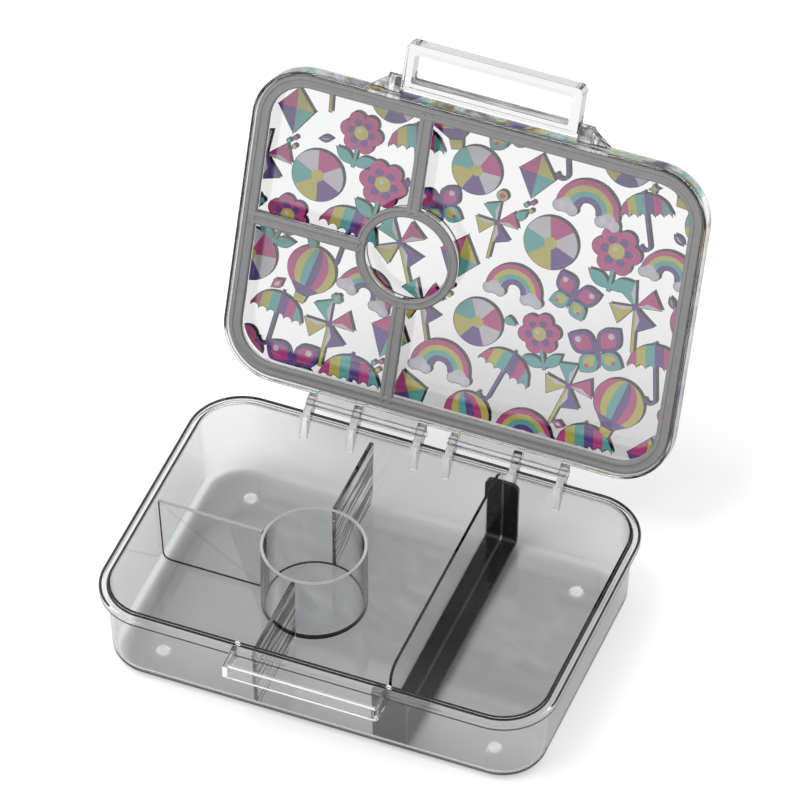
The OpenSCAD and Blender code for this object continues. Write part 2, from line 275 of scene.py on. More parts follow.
def inset(points, distance):
    """An outline that runs anticlockwise, moved inwards."""
    moved = []
    for i, point in enumerate(points):
        here = Vector(point)
        first = (here - Vector(points[i - 1])).normalized()
        second = (Vector(points[(i + 1) % len(points)]) - here).normalized()
        inwards = Vector((-first.y - second.y, first.x + second.x))
        moved.append(here + inwards * (distance / max(1 + first.dot(second), 0.4)))
    return moved


def anticlockwise(points):
    """The outline, turned round if it runs clockwise."""
    area = sum(a[0] * b[1] - b[0] * a[1] for a, b in zip(points, points[1:] + points[:1]))
    return points if area > 0 else points[::-1]


def along_x(u, v, w):
    """Place an outline drawn in Y and Z."""
    return w, u, v


def along_y(u, v, w):
    """Place an outline drawn in X and Z."""
    return u, w, v


def along_z(u, v, w):
    """Place an outline drawn in X and Y."""
    return u, v, w


# ---- solids ----

def skin(bm, rings, around, closed_rings):
    """Faces between rings of vertices. Around joins the last ring to the first, and closed_rings each ring's ends."""
    count = len(rings)
    for i in range(count if around else count - 1):
        ring, after = rings[i], rings[(i + 1) % count]
        for j in range(len(ring) if closed_rings else len(ring) - 1):
            k = (j + 1) % len(ring)
            bm.faces.new((ring[j], after[j], after[k], ring[k]))


def capped_skin(bm, rings):
    """Faces between closed rings, and a cap on each end."""
    skin(bm, rings, False, True)
    bm.faces.new(rings[0])
    bm.faces.new(rings[-1])


def sweep(bm, section, half_x, half_y, x=0, closed=False, steps=24):
    """Carry a section, drawn from the corner centre out, round a rounded rectangle."""
    rings = []
    for quarter in range(4):
        corner_x = x + (half_x if quarter in (0, 3) else -half_x)
        corner_y = half_y if quarter < 2 else -half_y
        for k in range(steps + 1):
            a = math.radians(90) * (quarter + k / steps)
            rings.append([bm.verts.new((corner_x + r * math.cos(a), corner_y + r * math.sin(a), z))
                          for r, z in section])
    skin(bm, rings, True, closed)
    if not closed:
        bm.faces.new([ring[0] for ring in rings])
        bm.faces.new([ring[-1] for ring in rings])


def prism(bm, points, low, high, place, edge=0.0, steps=4):
    """Extrude an outline, with its two rims rounded by edge."""
    points = anticlockwise(points)
    levels = [(0, low)]
    if edge > 0:
        angles = [math.radians(90) * k / steps for k in range(steps + 1)]
        levels = [(edge * (1 - math.sin(a)), low + edge * (1 - math.cos(a))) for a in angles]
    levels += [(shrink, low + high - w) for shrink, w in reversed(levels)]
    capped_skin(bm, [[bm.verts.new(place(u, v, w)) for u, v in inset(points, shrink)] for shrink, w in levels])


def rod(bm, x0, x1, y, z, radius, edge=0.0, steps=32):
    """A round rod along X."""
    prism(bm, disc(y, z, radius, steps), x0, x1, along_x, edge)


def on_side(side, start, end):
    """A stretch along X from its lower end, mirrored where side is -1."""
    return sorted((side * start, side * end))


def solid(name, build, *arguments, weld=True):
    """An object from one function that fills a bmesh. Welding joins the points that meet."""
    bm = bmesh.new()
    build(bm, *arguments)
    if weld:
        bmesh.ops.remove_doubles(bm, verts=bm.verts, dist=0.001 * MM)
    bmesh.ops.recalc_face_normals(bm, faces=bm.faces)
    mesh = bpy.data.meshes.new(name)
    bm.to_mesh(mesh)
    bm.free()
    thing = bpy.data.objects.new(name, mesh)
    bpy.context.scene.collection.objects.link(thing)
    return thing


def combine(thing, tool, operation):
    """Join a tool to a solid, cut it from it or keep what they share, and delete the tool."""
    modifier = thing.modifiers.new("Combine", "BOOLEAN")
    modifier.operation = operation
    modifier.solver = "MANIFOLD"
    modifier.object = tool
    graph = bpy.context.evaluated_depsgraph_get()
    mesh = bpy.data.meshes.new_from_object(thing.evaluated_get(graph))
    mesh.materials.clear()
    thing.modifiers.clear()
    old = thing.data
    thing.data = mesh
    bpy.data.meshes.remove(old)
    bpy.data.objects.remove(tool)
    return thing


def finish_piece(thing, body, nodes, materials):
    """Smooth a piece, give it its materials and fix it to its body."""
    sharp = math.radians(30)
    for material in materials:
        thing.data.materials.append(material)
    thing.data.polygons.foreach_set("use_smooth", [True] * len(thing.data.polygons))
    thing.data.set_sharp_from_angle(angle=sharp)
    flat_edges = {key for face in thing.data.polygons if len(face.vertices) > 4 for key in face.edge_keys}
    for edge in thing.data.edges:
        if edge.key in flat_edges:
            edge.use_edge_sharp = True
    normals = thing.modifiers.new("Weighted normals", "WEIGHTED_NORMAL")
    normals.keep_sharp = True
    normals.weight = 100
    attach(thing, body)
    if nodes:
        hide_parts(*nodes)
    return thing


def paint(thing, index, chosen):
    """Give a piece's second or later material to the faces whose centre and normal are chosen."""
    for face in thing.data.polygons:
        if chosen(face.center, face.normal):
            face.material_index = index


def open_with_lid(thing):
    """Turn a piece that is drawn on the closed lid to where the lid rests on its stop."""
    to_hinge = Matrix.Translation(HINGE)
    thing.data.transform(to_hinge @ Matrix.Rotation(-LID_TURN, 4, "X") @ to_hinge.inverted())
    return thing


# ---- materials ----

class Nodes:
    """A material's node tree, with short ways to add to it."""

    def __init__(self, name):
        self.material = bpy.data.materials.new(name)
        self.material.use_nodes = True
        self.tree = self.material.node_tree
        self.shader = self.tree.nodes["Principled BSDF"]
        self.output = self.tree.nodes["Material Output"]

    def add(self, kind, **values):
        """A new node, with values for its settings by name."""
        node = self.tree.nodes.new(kind)
        for key, value in values.items():
            setattr(node, key, value)
        return node

    def link(self, source, target):
        """Join two sockets."""
        self.tree.links.new(source, target)

    def set(self, **values):
        """Values of the Principled shader's sockets, with _ for a space."""
        for key, value in values.items():
            self.shader.inputs[key.replace("_", " ")].default_value = value

    def noise(self, scale, detail=3.0, squeeze=None):
        """Noise in the piece's own metres, drawn out along the axes where squeeze is below 1."""
        place = self.add("ShaderNodeTexCoord").outputs["Object"]
        if squeeze:
            stretch = self.add("ShaderNodeMapping")
            stretch.inputs["Scale"].default_value = squeeze
            self.link(place, stretch.inputs["Vector"])
            place = stretch.outputs["Vector"]
        noise = self.add("ShaderNodeTexNoise")
        noise.inputs["Scale"].default_value = scale
        noise.inputs["Detail"].default_value = detail
        self.link(place, noise.inputs["Vector"])
        return noise.outputs["Fac"]

    def ramp(self, amount, *stops):
        """A colour that follows an amount, from stops (position, colour)."""
        ramp = self.add("ShaderNodeValToRGB")
        elements = ramp.color_ramp.elements
        elements[0].position, elements[1].position = stops[0][0], stops[-1][0]
        for position, _ in stops[1:-1]:
            elements.new(position)
        for element, (_, shade) in zip(elements, stops):
            element.color = (*shade, 1)
        self.link(amount, ramp.inputs["Fac"])
        return ramp.outputs["Color"]

    def mottle(self, base, spread, scale):
        """Base colour that varies a little either side of base."""
        low = [max(c * (1 - spread), 0) for c in base]
        high = [min(c * (1 + spread), 1) for c in base]
        self.link(self.ramp(self.noise(scale), (0.3, low), (0.7, high)), self.shader.inputs["Base Color"])

    def bump(self, scale, strength, distance):
        """Fine unevenness of the surface."""
        bump = self.add("ShaderNodeBump")
        bump.inputs["Strength"].default_value = strength
        bump.inputs["Distance"].default_value = distance
        self.link(self.noise(scale), bump.inputs["Height"])
        self.link(bump.outputs["Normal"], self.shader.inputs["Normal"])

    def glow(self, strength):
        """A faint light of its own, in the base colour."""
        self.link(self.shader.inputs["Base Color"].links[0].from_socket, self.shader.inputs["Emission Color"])
        self.set(Emission_Strength=strength)

    def darken_edges(self, amount, start=0.55, full=0.97):
        """Painted shade: darken the base colour where the surface turns away from the eye."""
        facing = self.add("ShaderNodeLayerWeight").outputs["Facing"]
        shade = self.add("ShaderNodeVectorMath", operation="MULTIPLY")
        base = self.shader.inputs["Base Color"]
        self.link(base.links[0].from_socket, shade.inputs[0])
        self.link(self.ramp(facing, (start, [1, 1, 1]), (full, [1 - amount] * 3)), shade.inputs[1])
        self.link(shade.outputs["Vector"], base)

    def let_light_through(self, share):
        """Rays from lamps pass straight through, less what each surface keeps."""
        path = self.add("ShaderNodeLightPath")
        clear = self.add("ShaderNodeBsdfTransparent")
        clear.inputs["Color"].default_value = (share, share, share, 1)
        mix = self.add("ShaderNodeMixShader")
        self.link(path.outputs["Is Shadow Ray"], mix.inputs["Fac"])
        self.link(self.shader.outputs["BSDF"], mix.inputs[1])
        self.link(clear.outputs["BSDF"], mix.inputs[2])
        self.link(mix.outputs["Shader"], self.output.inputs["Surface"])


def clear_plastic(name, look, share, tint=1.0, edge=0.75, gloss=0.5, start=0.55, full=0.97):
    """Clear moulded plastic with painted shade where it turns away, and a faint flow in its surface.

    Share is the light that a surface lets through, tint scales the clear colour, and edge is how far the painted
    shade darkens the plastic as it turns away from start to full.
    """
    nodes = Nodes(name)
    nodes.mottle([c * tint for c in look.clear], 0.01, 40)
    nodes.darken_edges(edge, start, full)
    nodes.bump(55, 0.02, 0.2 * MM)
    nodes.set(Transmission_Weight=1.0, Roughness=0.0, IOR=look.ior, Specular_IOR_Level=gloss)
    nodes.let_light_through(share)
    return nodes.material


def frosted_painted_highlight(name, look, glow, spread=0.02):
    """Clear plastic with a rough, frosted surface, painted pale and given a glow of its own: a painted highlight."""
    nodes = Nodes(name)
    nodes.mottle(look.clear, spread, 400)
    nodes.bump(900, 0.05, 0.05 * MM)
    nodes.set(Transmission_Weight=0.7, Roughness=0.4, IOR=look.ior)
    nodes.glow(glow)
    nodes.let_light_through(0.9)
    return nodes.material


def painted_shade_edge(name):
    """Near-black plastic painted on an edge: painted shade, for the dark line that a clear edge shows where it passes
    no light towards the side.
    """
    nodes = Nodes(name)
    nodes.mottle((0.012, 0.012, 0.013), 0.3, 300)
    nodes.bump(300, 0.05, 0.1 * MM)
    nodes.set(Roughness=0.12)
    nodes.let_light_through(0.9)
    return nodes.material


def painted_refraction_plastic(name, look, inks, share):
    """Clear plastic painted with noise patches of the print's colours and of near-black: a painted refraction of the
    print beside it, and painted shade.
    """
    nodes = Nodes(name)
    clear, dark = (0.75, 0.75, 0.77), (0.03, 0.03, 0.035)
    shades = (inks.purple, dark, clear, clear, inks.teal, clear, inks.yellow, dark, clear, inks.purple)
    first, span = 0.34, 0.32
    stops = [(first + span * k / (len(shades) - 1), shade) for k, shade in enumerate(shades)]
    nodes.link(nodes.ramp(nodes.noise(40, 2.0), *stops), nodes.shader.inputs["Base Color"])
    nodes.darken_edges(0.75)
    nodes.bump(55, 0.02, 0.2 * MM)
    nodes.set(Transmission_Weight=0.85, Roughness=0.0, IOR=look.ior)
    nodes.let_light_through(share)
    return nodes.material


def painted_streak_plastic(name, look, squeeze, dark=0.05, light=0.75, stops=(0.42, 0.64), turned=None):
    """Clear plastic painted with fine streaks between dark and light: painted reflection and shade, as a clear sheet
    shows them edge on. Turned (start, full) shows them only where the surface turns away from the eye."""
    nodes = Nodes(name)
    streaks = nodes.ramp(nodes.noise(500, squeeze=squeeze), (stops[0], [dark] * 3), (stops[1], [light] * 3))
    if turned:
        fade = nodes.add("ShaderNodeMapRange")
        fade.inputs["From Min"].default_value, fade.inputs["From Max"].default_value = turned
        nodes.link(nodes.add("ShaderNodeLayerWeight").outputs["Facing"], fade.inputs["Value"])
        blend = nodes.add("ShaderNodeMix", data_type="RGBA")
        factor, plain, painted_streaks = blend.inputs[0], blend.inputs[6], blend.inputs[7]
        plain.default_value = (*look.clear, 1)
        nodes.link(fade.outputs["Result"], factor)
        nodes.link(streaks, painted_streaks)
        streaks = blend.outputs[2]
    nodes.link(streaks, nodes.shader.inputs["Base Color"])
    nodes.bump(250, 0.05, 0.1 * MM)
    nodes.set(Transmission_Weight=1.0, Roughness=0.0, IOR=look.ior, Specular_IOR_Level=0.3)
    nodes.let_light_through(0.9)
    return nodes.material


def silicone(look):
    """Matte grey silicone with a fine grain."""
    nodes = Nodes("gasket_silicone")
    nodes.mottle(look.gasket, 0.06, 300)
    nodes.bump(2500, 0.12, 0.05 * MM)
    nodes.set(Roughness=0.55)
    return nodes.material


def black_plastic(name, shade):
    """Glossy dark plastic with faint flow marks."""
    nodes = Nodes(name)
    nodes.mottle(shade, 0.3, 60)
    nodes.bump(120, 0.06, 0.1 * MM)
    nodes.set(Roughness=0.16, Specular_IOR_Level=0.5)
    return nodes.material


def steel(look):
    """Drawn steel wire."""
    nodes = Nodes("hinge_pin_steel")
    nodes.mottle(look.steel, 0.08, 900)
    nodes.bump(1800, 0.1, 0.02 * MM)
    nodes.set(Metallic=1.0, Roughness=0.2)
    return nodes.material


def ink(name, shade):
    """One colour of printing ink, a little uneven, with a glow of its own: painted light that brightens the ink where
    little light reaches it.
    """
    nodes = Nodes("ink_" + name)
    nodes.mottle(shade, 0.05, 700)
    nodes.bump(3000, 0.05, 0.02 * MM)
    nodes.set(Roughness=0.4)
    nodes.glow(0.3)
    return nodes.material


# ---- tray ----

def wall_at(tray, z):
    """Outer face of the wall at height z, from the corner centre."""
    return tray.corner - tray.overhang - tray.lean * (1 - z / HINGE.z)


def tray_section(tray):
    """The tray's section, from the middle of its underside round to the middle of its floor."""
    rim = HINGE.z
    under = rim - tray.flange
    corner = tray.corner
    inner = wall_at(tray, rim) - tray.wall
    inner_low = inner - tray.lean * (1 - tray.floor / rim)
    middle = corner - 20 * MM
    skirt_edge, bead_edge = 0.4 * MM, 0.35 * MM
    return softened([
        (middle, 0, 0),
        (wall_at(tray, 0), 0, tray.outer_round),
        (wall_at(tray, under), under, 0.5 * MM),
        (corner - tray.skirt, under, skirt_edge),
        (corner - tray.skirt, rim - tray.skirt_height, skirt_edge),
        (corner, rim - tray.skirt_height, skirt_edge),
        (corner, rim, 0.9 * MM),
        (inner + tray.bead_width, rim, 0.2 * MM),
        (inner + tray.bead_width, rim + tray.bead_height, bead_edge),
        (inner, rim + tray.bead_height, bead_edge),
        (inner_low, tray.floor, tray.inner_round),
        (middle, tray.floor, 0),
    ], closed=False)


def tray_middle(tray):
    """Corner centres of the tray."""
    return tray.half_width - tray.corner, tray.half_depth - tray.corner


def tray_body(bm, tray):
    """Walls, floor and rim."""
    sweep(bm, tray_section(tray), *tray_middle(tray))


def ear_outline(tray, lid):
    """A hinge ear from the side: a round eye with a square corner that stops the lid, on a rib."""
    y, z, eye = HINGE.y, HINGE.z, lid.ear_eye
    rib_length, rib_foot = 15 * MM, 0.8 * MM
    rib_meets, wall_meets = -53, 176
    low = z - rib_length
    face = tray_middle(tray)[1] + wall_at(tray, low)
    root = face - BURIED
    return ([(root, low), (face + rib_foot, low)] + arc(y, z, eye, rib_meets, 0, 8)
            + [(y + eye, z + eye)] + arc(y, z, eye, 90, wall_meets, 12)
            + [(y - eye, z), (root, z)])


def catch_bar(bm, tray, lid, handle):
    """The bar that the handle latches under, with a cheek at each end."""
    half, cheek = handle.bar_half, 2.2 * MM
    front = -(lid.half_depth + handle.pivot_out + 3.8 * MM)
    root = -(tray_middle(tray)[1] + wall_at(tray, handle.bar_low) - BURIED)
    outline = softened([
        (-half, root, 0), (-half, front, 1.2 * MM), (half, front, 1.2 * MM), (half, root, 0),
        (half - cheek, root, 0), (half - cheek, front + handle.bar, 0.6 * MM),
        (cheek - half, front + handle.bar, 0.6 * MM), (cheek - half, root, 0)])
    prism(bm, outline, handle.bar_low, handle.bar_high, along_z, 0.3 * MM)


def tray_foot(bm, tray, x, y):
    """One moulded foot, let into the underside."""
    inside = 0.4 * MM
    side = softened([(tray.foot, inside, 0), (tray.foot, 0, 0), (tray.foot_low, GROUND, 0.4 * MM),
                     (0.5 * MM, GROUND, 0)], closed=False)
    capped_skin(bm, [[bm.verts.new((u, v, z)) for u, v in disc(x, y, radius)] for radius, z in side])


def tray_fittings(bm, tray, lid, handle):
    """Hinge ears, catch bar and feet."""
    for x in EAR_PLACES:
        prism(bm, ear_outline(tray, lid), x - lid.ear / 2, x + lid.ear / 2, along_x, 0.25 * MM)
    catch_bar(bm, tray, lid, handle)
    for side_x in (-1, 1):
        for side_y in (-1, 1):
            tray_foot(bm, tray, side_x * FOOT_X, side_y * FOOT_Y)


def pin_holes(bm, lid):
    """Bores of the hinge ears."""
    air = 0.03 * MM
    for x in EAR_PLACES:
        rod(bm, x - lid.ear, x + lid.ear, HINGE.y, HINGE.z, lid.pin + air)


def paint_tray(thing, tray, lid):
    """Second materials, all painted light: a pale, glowing highlight on the feet, and painted shade along the skirt's
    lower edge, on the hinge ears and on the rounding under the floor.
    """
    middle = tray_middle(tray)
    paint(thing, 1, lambda at, normal: at.z < -NEAR)
    skirt_low, skirt_from = HINGE.z - tray.skirt_height, 26.5 * MM
    paint(thing, 2, lambda at, normal: abs(at.z - skirt_low) < 0.45 * MM and normal.z < -0.15
          and math.hypot(*(max(abs(c) - m, 0) for c, m in zip(at, middle))) > skirt_from)
    ear_reach, ears_from = lid.ear / 2 + NEAR, 78 * MM
    paint(thing, 3, lambda at, normal: at.y > ears_from and min(abs(at.x - x) for x in EAR_PLACES) < ear_reach)
    paint(thing, 4, lambda at, normal: 0.1 * MM < at.z < tray.outer_round and normal.z < -0.05)


class LUNCHBOX_OT_tray(Operator):
    """Build the tray with its rim, feet, hinge ears and catch bar"""
    bl_idname = "lunchbox.tray"
    bl_label = "Tray"

    def execute(self, context):
        box = context.scene.lunch_box
        tray = solid("tray_shell", tray_body, box.tray)
        combine(tray, solid("tray_fittings", tray_fittings, box.tray, box.lid, box.handle), "UNION")
        combine(tray, solid("pin_holes", pin_holes, box.lid), "DIFFERENCE")
        paint_tray(tray, box.tray, box.lid)
        look = box.plastic
        plastic = clear_plastic("tray_plastic", look, look.shade, gloss=0.1)
        # Painted highlight: the feet are pale and glow.
        pale = frosted_painted_highlight("foot_pale", look, glow=0.22, spread=0.25)
        # Painted shade: a near-black line along the lower edge of the rim's skirt.
        dark = painted_shade_edge("rim_edge_dark")
        # Painted shade: the hinge ears get a darker tint of the plastic that darkens more towards their edges.
        ear = clear_plastic("ear_plastic", look, 0.9, tint=0.82, edge=0.95, gloss=0.3, start=0.3)
        # Painted shade: the rounding under the floor darkens fully where it turns away.
        base = clear_plastic("base_edge_plastic", look, look.shade, edge=1.0, gloss=0.1, start=0.35, full=0.62)
        finish_piece(tray, "tray", ["base_tray"], [plastic, pale, dark, ear, base])
        return {"FINISHED"}


# ---- cup and partitions ----

def cup_section(tray, insert):
    """The cup's section, from the middle of its underside to the middle of its floor."""
    top = HINGE.z - insert.drop
    floor = tray.floor + insert.cup_wall
    low = tray.floor + SEAT
    middle = 8 * MM
    return softened([
        (middle, low, 0),
        (CUP_R, low, 1.2 * MM),
        (CUP_R, top, 0.6 * MM),
        (CUP_R - insert.cup_wall, top, 0.6 * MM),
        (CUP_R - insert.cup_wall, floor, 1.6 * MM),
        (middle, floor, 0)], closed=False)


def hollow_side(tray, corner_centre, gap, z):
    """The tray's inner face at height z, moved in by gap."""
    return corner_centre + wall_at(tray, z) - tray.wall - gap


def partition_outline(tray, insert, inner, corner_centre):
    """A partition's side view, from the cup out to the wall."""
    top = HINGE.z - insert.drop
    low = tray.floor + SEAT
    return softened([
        (inner, low, 0.5 * MM),
        (hollow_side(tray, corner_centre, insert.gap, low), low, tray.inner_round),
        (hollow_side(tray, corner_centre, insert.gap, top), top, 0.5 * MM),
        (inner, top, 0.5 * MM)], steps=6)


def partition(bm, tray, insert, side):
    """One fixed partition: left, back or front of the cup."""
    middle_x, middle_y = tray_middle(tray)
    half = insert.partition / 2
    if side == "left":
        outline = partition_outline(tray, insert, CUP_R + insert.gap - CUP_X, middle_x)
        prism(bm, [(-u, v) for u, v in outline], -half, half, along_y, 0.6 * MM)
        return
    sign = 1 if side == "back" else -1
    outline = partition_outline(tray, insert, CUP_R + insert.gap, middle_y)
    prism(bm, [(sign * u, v) for u, v in outline], CUP_X - half, CUP_X + half, along_x, 0.2 * MM)


def cup(bm, tray, insert):
    """The round dip cup."""
    sweep(bm, cup_section(tray, insert), 0, 0, CUP_X)


class LUNCHBOX_OT_cup_and_partitions(Operator):
    """Build the dip cup and the three fixed partitions round it"""
    bl_idname = "lunchbox.cup_and_partitions"
    bl_label = "Cup and partitions"

    def execute(self, context):
        box = context.scene.lunch_box
        look = box.plastic
        plastic = clear_plastic("insert_plastic", look, 0.97, edge=0.97, gloss=0.3, start=0.5, full=0.82)
        # Painted highlight, pale and glowing, on the cup's rim and on the left partition's top.
        pale = frosted_painted_highlight("rim_pale", look, glow=0.1)
        # Painted shade, near-black, on the ring inside the cup's foot and on the left partition's lower and outer
        # edges.
        dark = painted_shade_edge("edge_dark")
        # Painted streaks of reflection and shade: all over the edges of the back and front partitions, and on their
        # faces only where they turn away from the eye.
        painted_streaks = painted_streak_plastic("partition_streaked", look, (1, 0.05, 1))
        sheet = painted_streak_plastic("partition_sheet", look, (1, 0.05, 1), 0.01, 0.66, (0.46, 0.58), turned=(0.35, 0.6))
        rim_from = HINGE.z - box.insert.drop - 0.7 * MM
        dip_cup = solid("dip_cup_clear", cup, box.tray, box.insert)
        paint(dip_cup, 1, lambda at, normal: at.z > rim_from and normal.z > 0.35)
        ring_low, ring_high = CUP_LOW.z + 2.1 * MM, CUP_LOW.z + 3 * MM
        paint(dip_cup, 2, lambda at, normal: ring_low < at.z < ring_high and normal.z > 0.2)
        finish_piece(dip_cup, "tray", ["dip_cup"], [plastic, pale, dark])
        for side in ("left", "back", "front"):
            wall = solid(side + "_partition_clear", partition, box.tray, box.insert, side)
            if side == "left":
                paint(wall, 1, lambda at, normal: normal.z < -0.1 or normal.x < -0.1)
                paint(wall, 2, lambda at, normal: normal.z > 0.4)
                materials = [plastic, dark, pale]
            else:
                paint(wall, 1, lambda at, normal: abs(normal.x) < 0.5)
                materials = [sheet, painted_streaks]
            finish_piece(wall, "tray", [side + "_partition"], materials)
        return {"FINISHED"}


# ---- sliding divider ----

def floor_turn(tray, gap):
    """Radius inside the floor's edge, for an outline moved in by gap."""
    return max(tray.inner_round - gap, 1 * MM)


def divider_outline(tray, gap, top, radius, half=None):
    """The tray's cross section, moved in by gap, up to top."""
    middle_y = tray_middle(tray)[1]
    low = tray.floor + gap
    side_low = hollow_side(tray, middle_y, gap, low)
    side_top = half or hollow_side(tray, middle_y, gap, top)
    turn = floor_turn(tray, gap)
    return softened([(-side_low, low, turn), (side_low, low, turn),
                     (side_top, top, radius), (-side_top, top, radius)], steps=8)


def divider_slab(bm, outline, half, edge=0.0):
    """A divider outline, as thick as twice half, about the divider's middle."""
    prism(bm, outline, DIVIDER_X - half, DIVIDER_X + half, along_x, edge)


def divider_panel(bm, tray, insert):
    """The clear panel that stands in the black foot."""
    sink = insert.gap + insert.foot_sheet / 2
    top, corner = HINGE.z + insert.panel_rise, 8 * MM
    divider_slab(bm, divider_outline(tray, sink, top, corner, insert.panel_half), insert.panel / 2, 0.2 * MM)


def divider_foot(bm, tray, insert):
    """The black U that clips the panel to the floor and the two long walls."""
    top = HINGE.z - insert.foot_drop
    middle_y = tray_middle(tray)[1]
    path = []
    for gap in (insert.gap, insert.gap + insert.foot_sheet):
        low = tray.floor + gap
        side_low, side_top = (hollow_side(tray, middle_y, gap, z) for z in (low, top))
        turn = floor_turn(tray, gap)
        path.append(softened([(side_top, top, 0), (side_low, low, turn), (-side_low, low, turn),
                              (-side_top, top, 0)], closed=False, steps=8))
    divider_slab(bm, path[0] + path[1][::-1], insert.foot_width / 2, 0.3 * MM)


def foot_blank(bm, tray, insert):
    """The foot's front view, with rounded tops on its uprights."""
    half = insert.foot_width / 2
    top, corner = HINGE.z - insert.foot_drop - SEAT, 4 * MM
    outline = softened([(DIVIDER_X - half, 0, 0), (DIVIDER_X + half, 0, 0),
                        (DIVIDER_X + half, top, corner), (DIVIDER_X - half, top, corner)])
    prism(bm, outline, -tray.half_depth, tray.half_depth, along_y)


def foot_slot(bm, tray, insert, mouth):
    """The groove that the panel stands in, or its wider, rounded mouth."""
    top = HINGE.z + 5 * MM
    half = insert.panel / 2 + SEAT
    if mouth > 0:
        outline = divider_outline(tray, insert.gap + insert.foot_sheet - mouth, top, 0)
        divider_slab(bm, outline, half + mouth, mouth - 0.03 * MM)
    else:
        divider_slab(bm, divider_outline(tray, insert.gap + insert.foot_sheet / 2, top, 0), half)


class LUNCHBOX_OT_divider(Operator):
    """Build the sliding divider: a clear panel in a black foot"""
    bl_idname = "lunchbox.divider"
    bl_label = "Sliding divider"

    def execute(self, context):
        box = context.scene.lunch_box
        panel = solid("divider_panel_clear", divider_panel, box.tray, box.insert)
        plastic = clear_plastic("divider_panel_plastic", box.plastic, 0.96)
        finish_piece(panel, "divider", ["divider_panel"], [plastic])
        foot = solid("divider_foot_black", divider_foot, box.tray, box.insert)
        combine(foot, solid("foot_blank", foot_blank, box.tray, box.insert), "INTERSECT")
        for mouth in (0.5 * MM, 0):
            combine(foot, solid("foot_slot", foot_slot, box.tray, box.insert, mouth), "DIFFERENCE")
        # Painted highlight: the faces at the mouth of the slot get a lighter grey than the rest of the black foot.
        grey_to = box.insert.panel / 2 + 0.7 * MM
        paint(foot, 1, lambda at, normal: abs(at.x - DIVIDER_X) < grey_to and abs(normal.x) > 0.1)
        finish_piece(foot, "divider", ["divider_foot"],
                     [black_plastic("foot_black", box.plastic.black), black_plastic("slot_grey", box.plastic.slot)])
        return {"FINISHED"}


# ---- lid ----

class LidLevels:
    """The lid's sizes, with heights, corner centres and the handle's pivot on the closed lid."""

    def __init__(self, box):
        lid = self.lid = box.lid
        past_cup = 0.2 * MM
        self.low = HINGE.z + lid.gap
        self.top = self.low + lid.height
        self.plate = self.top - lid.plate
        self.seal = HINGE.z + lid.seal
        self.shelf = self.seal + lid.gasket
        self.shelf_top = self.shelf + lid.shelf
        self.middle_x = box.tray.half_width - box.tray.corner
        self.middle_y = lid.half_depth - box.tray.corner
        self.corner = box.tray.corner
        self.band = lid.band_corner - lid.band / 2
        self.ring = CUP_R + past_cup - lid.ring / 2
        self.pivot_y = -(lid.half_depth + box.handle.pivot_out)
        self.pivot_z = self.low + box.handle.pivot_rise


def lid_section(at):
    """The lid's section, from the middle of its outside round to the middle of its inside."""
    lid = at.lid
    start = at.corner - 18 * MM
    outer = at.corner
    inner = at.corner - lid.wall
    rib, shelf = lid.rib / 2, lid.band / 2
    recess_edge, rim_edge, shelf_edge = 0.1 * MM, 0.5 * MM, 0.3 * MM
    return softened([
        (start, at.top - lid.film, 0),
        (lid.film_corner, at.top - lid.film, recess_edge),
        (lid.film_corner, at.top, recess_edge),
        (outer, at.top, lid.edge),
        (outer, at.low, rim_edge),
        (inner, at.low, rim_edge),
        (inner, at.plate, lid.edge - lid.wall),
        (at.band + rib, at.plate, 0.15 * MM),
        (at.band + rib, at.shelf_top, shelf_edge),
        (at.band + shelf, at.shelf_top, shelf_edge),
        (at.band + shelf, at.shelf, shelf_edge),
        (at.band - shelf, at.shelf, shelf_edge),
        (at.band - shelf, at.shelf_top, shelf_edge),
        (at.band - rib, at.shelf_top, shelf_edge),
        (at.band - rib, at.plate, 0.4 * MM),
        (start, at.plate, 0)], closed=False, steps=4)


def lid_body(bm, box):
    """Walls and plate of the lid, with the rib and shelf behind the gasket's band."""
    at = LidLevels(box)
    sweep(bm, lid_section(at), at.middle_x, at.middle_y)


def tee_section(middle, width, at):
    """A T: a shelf on a rib that runs into the plate."""
    rib, shelf = at.lid.rib / 2, width / 2
    root = at.plate + 0.4 * MM
    edge = 0.3 * MM
    return softened([
        (middle - shelf, at.shelf, edge), (middle + shelf, at.shelf, edge),
        (middle + shelf, at.shelf_top, edge), (middle + rib, at.shelf_top, edge),
        (middle + rib, root, 0), (middle - rib, root, 0),
        (middle - rib, at.shelf_top, edge), (middle - shelf, at.shelf_top, edge)], steps=3)


def strip_section(middle, width, at):
    """A gasket strip with rounded edges and a groove along its face."""
    low, high = at.seal, at.shelf - 0.02 * MM
    half, groove, deep = width / 2, 1.1 * MM, 0.5 * MM
    lip, edge, bottom = 1.1 * MM, 0.3 * MM, 0.2 * MM
    return softened([
        (middle - half, low, lip), (middle - groove, low, edge), (middle - groove, low + deep, bottom),
        (middle + groove, low + deep, bottom), (middle + groove, low, edge), (middle + half, low, lip),
        (middle + half, high, edge), (middle - half, high, edge)])


def ring_solid(bm, section, box):
    """A section carried round the cup's ring."""
    at = LidLevels(box)
    sweep(bm, section(at.ring, at.lid.ring, at), 0, 0, CUP_X, closed=True, steps=16)


def bar_solids(bm, section, box):
    """A section laid along the three bars between the ring and the band."""
    at = LidLevels(box)
    reach_y = at.middle_y + at.band
    prism(bm, section(CUP_X, at.lid.bar, at), at.ring, reach_y, along_y)
    prism(bm, section(CUP_X, at.lid.bar, at), -reach_y, -at.ring, along_y)
    prism(bm, section(0, at.lid.bar, at), -at.middle_x - at.band, CUP_X - at.ring, along_x)


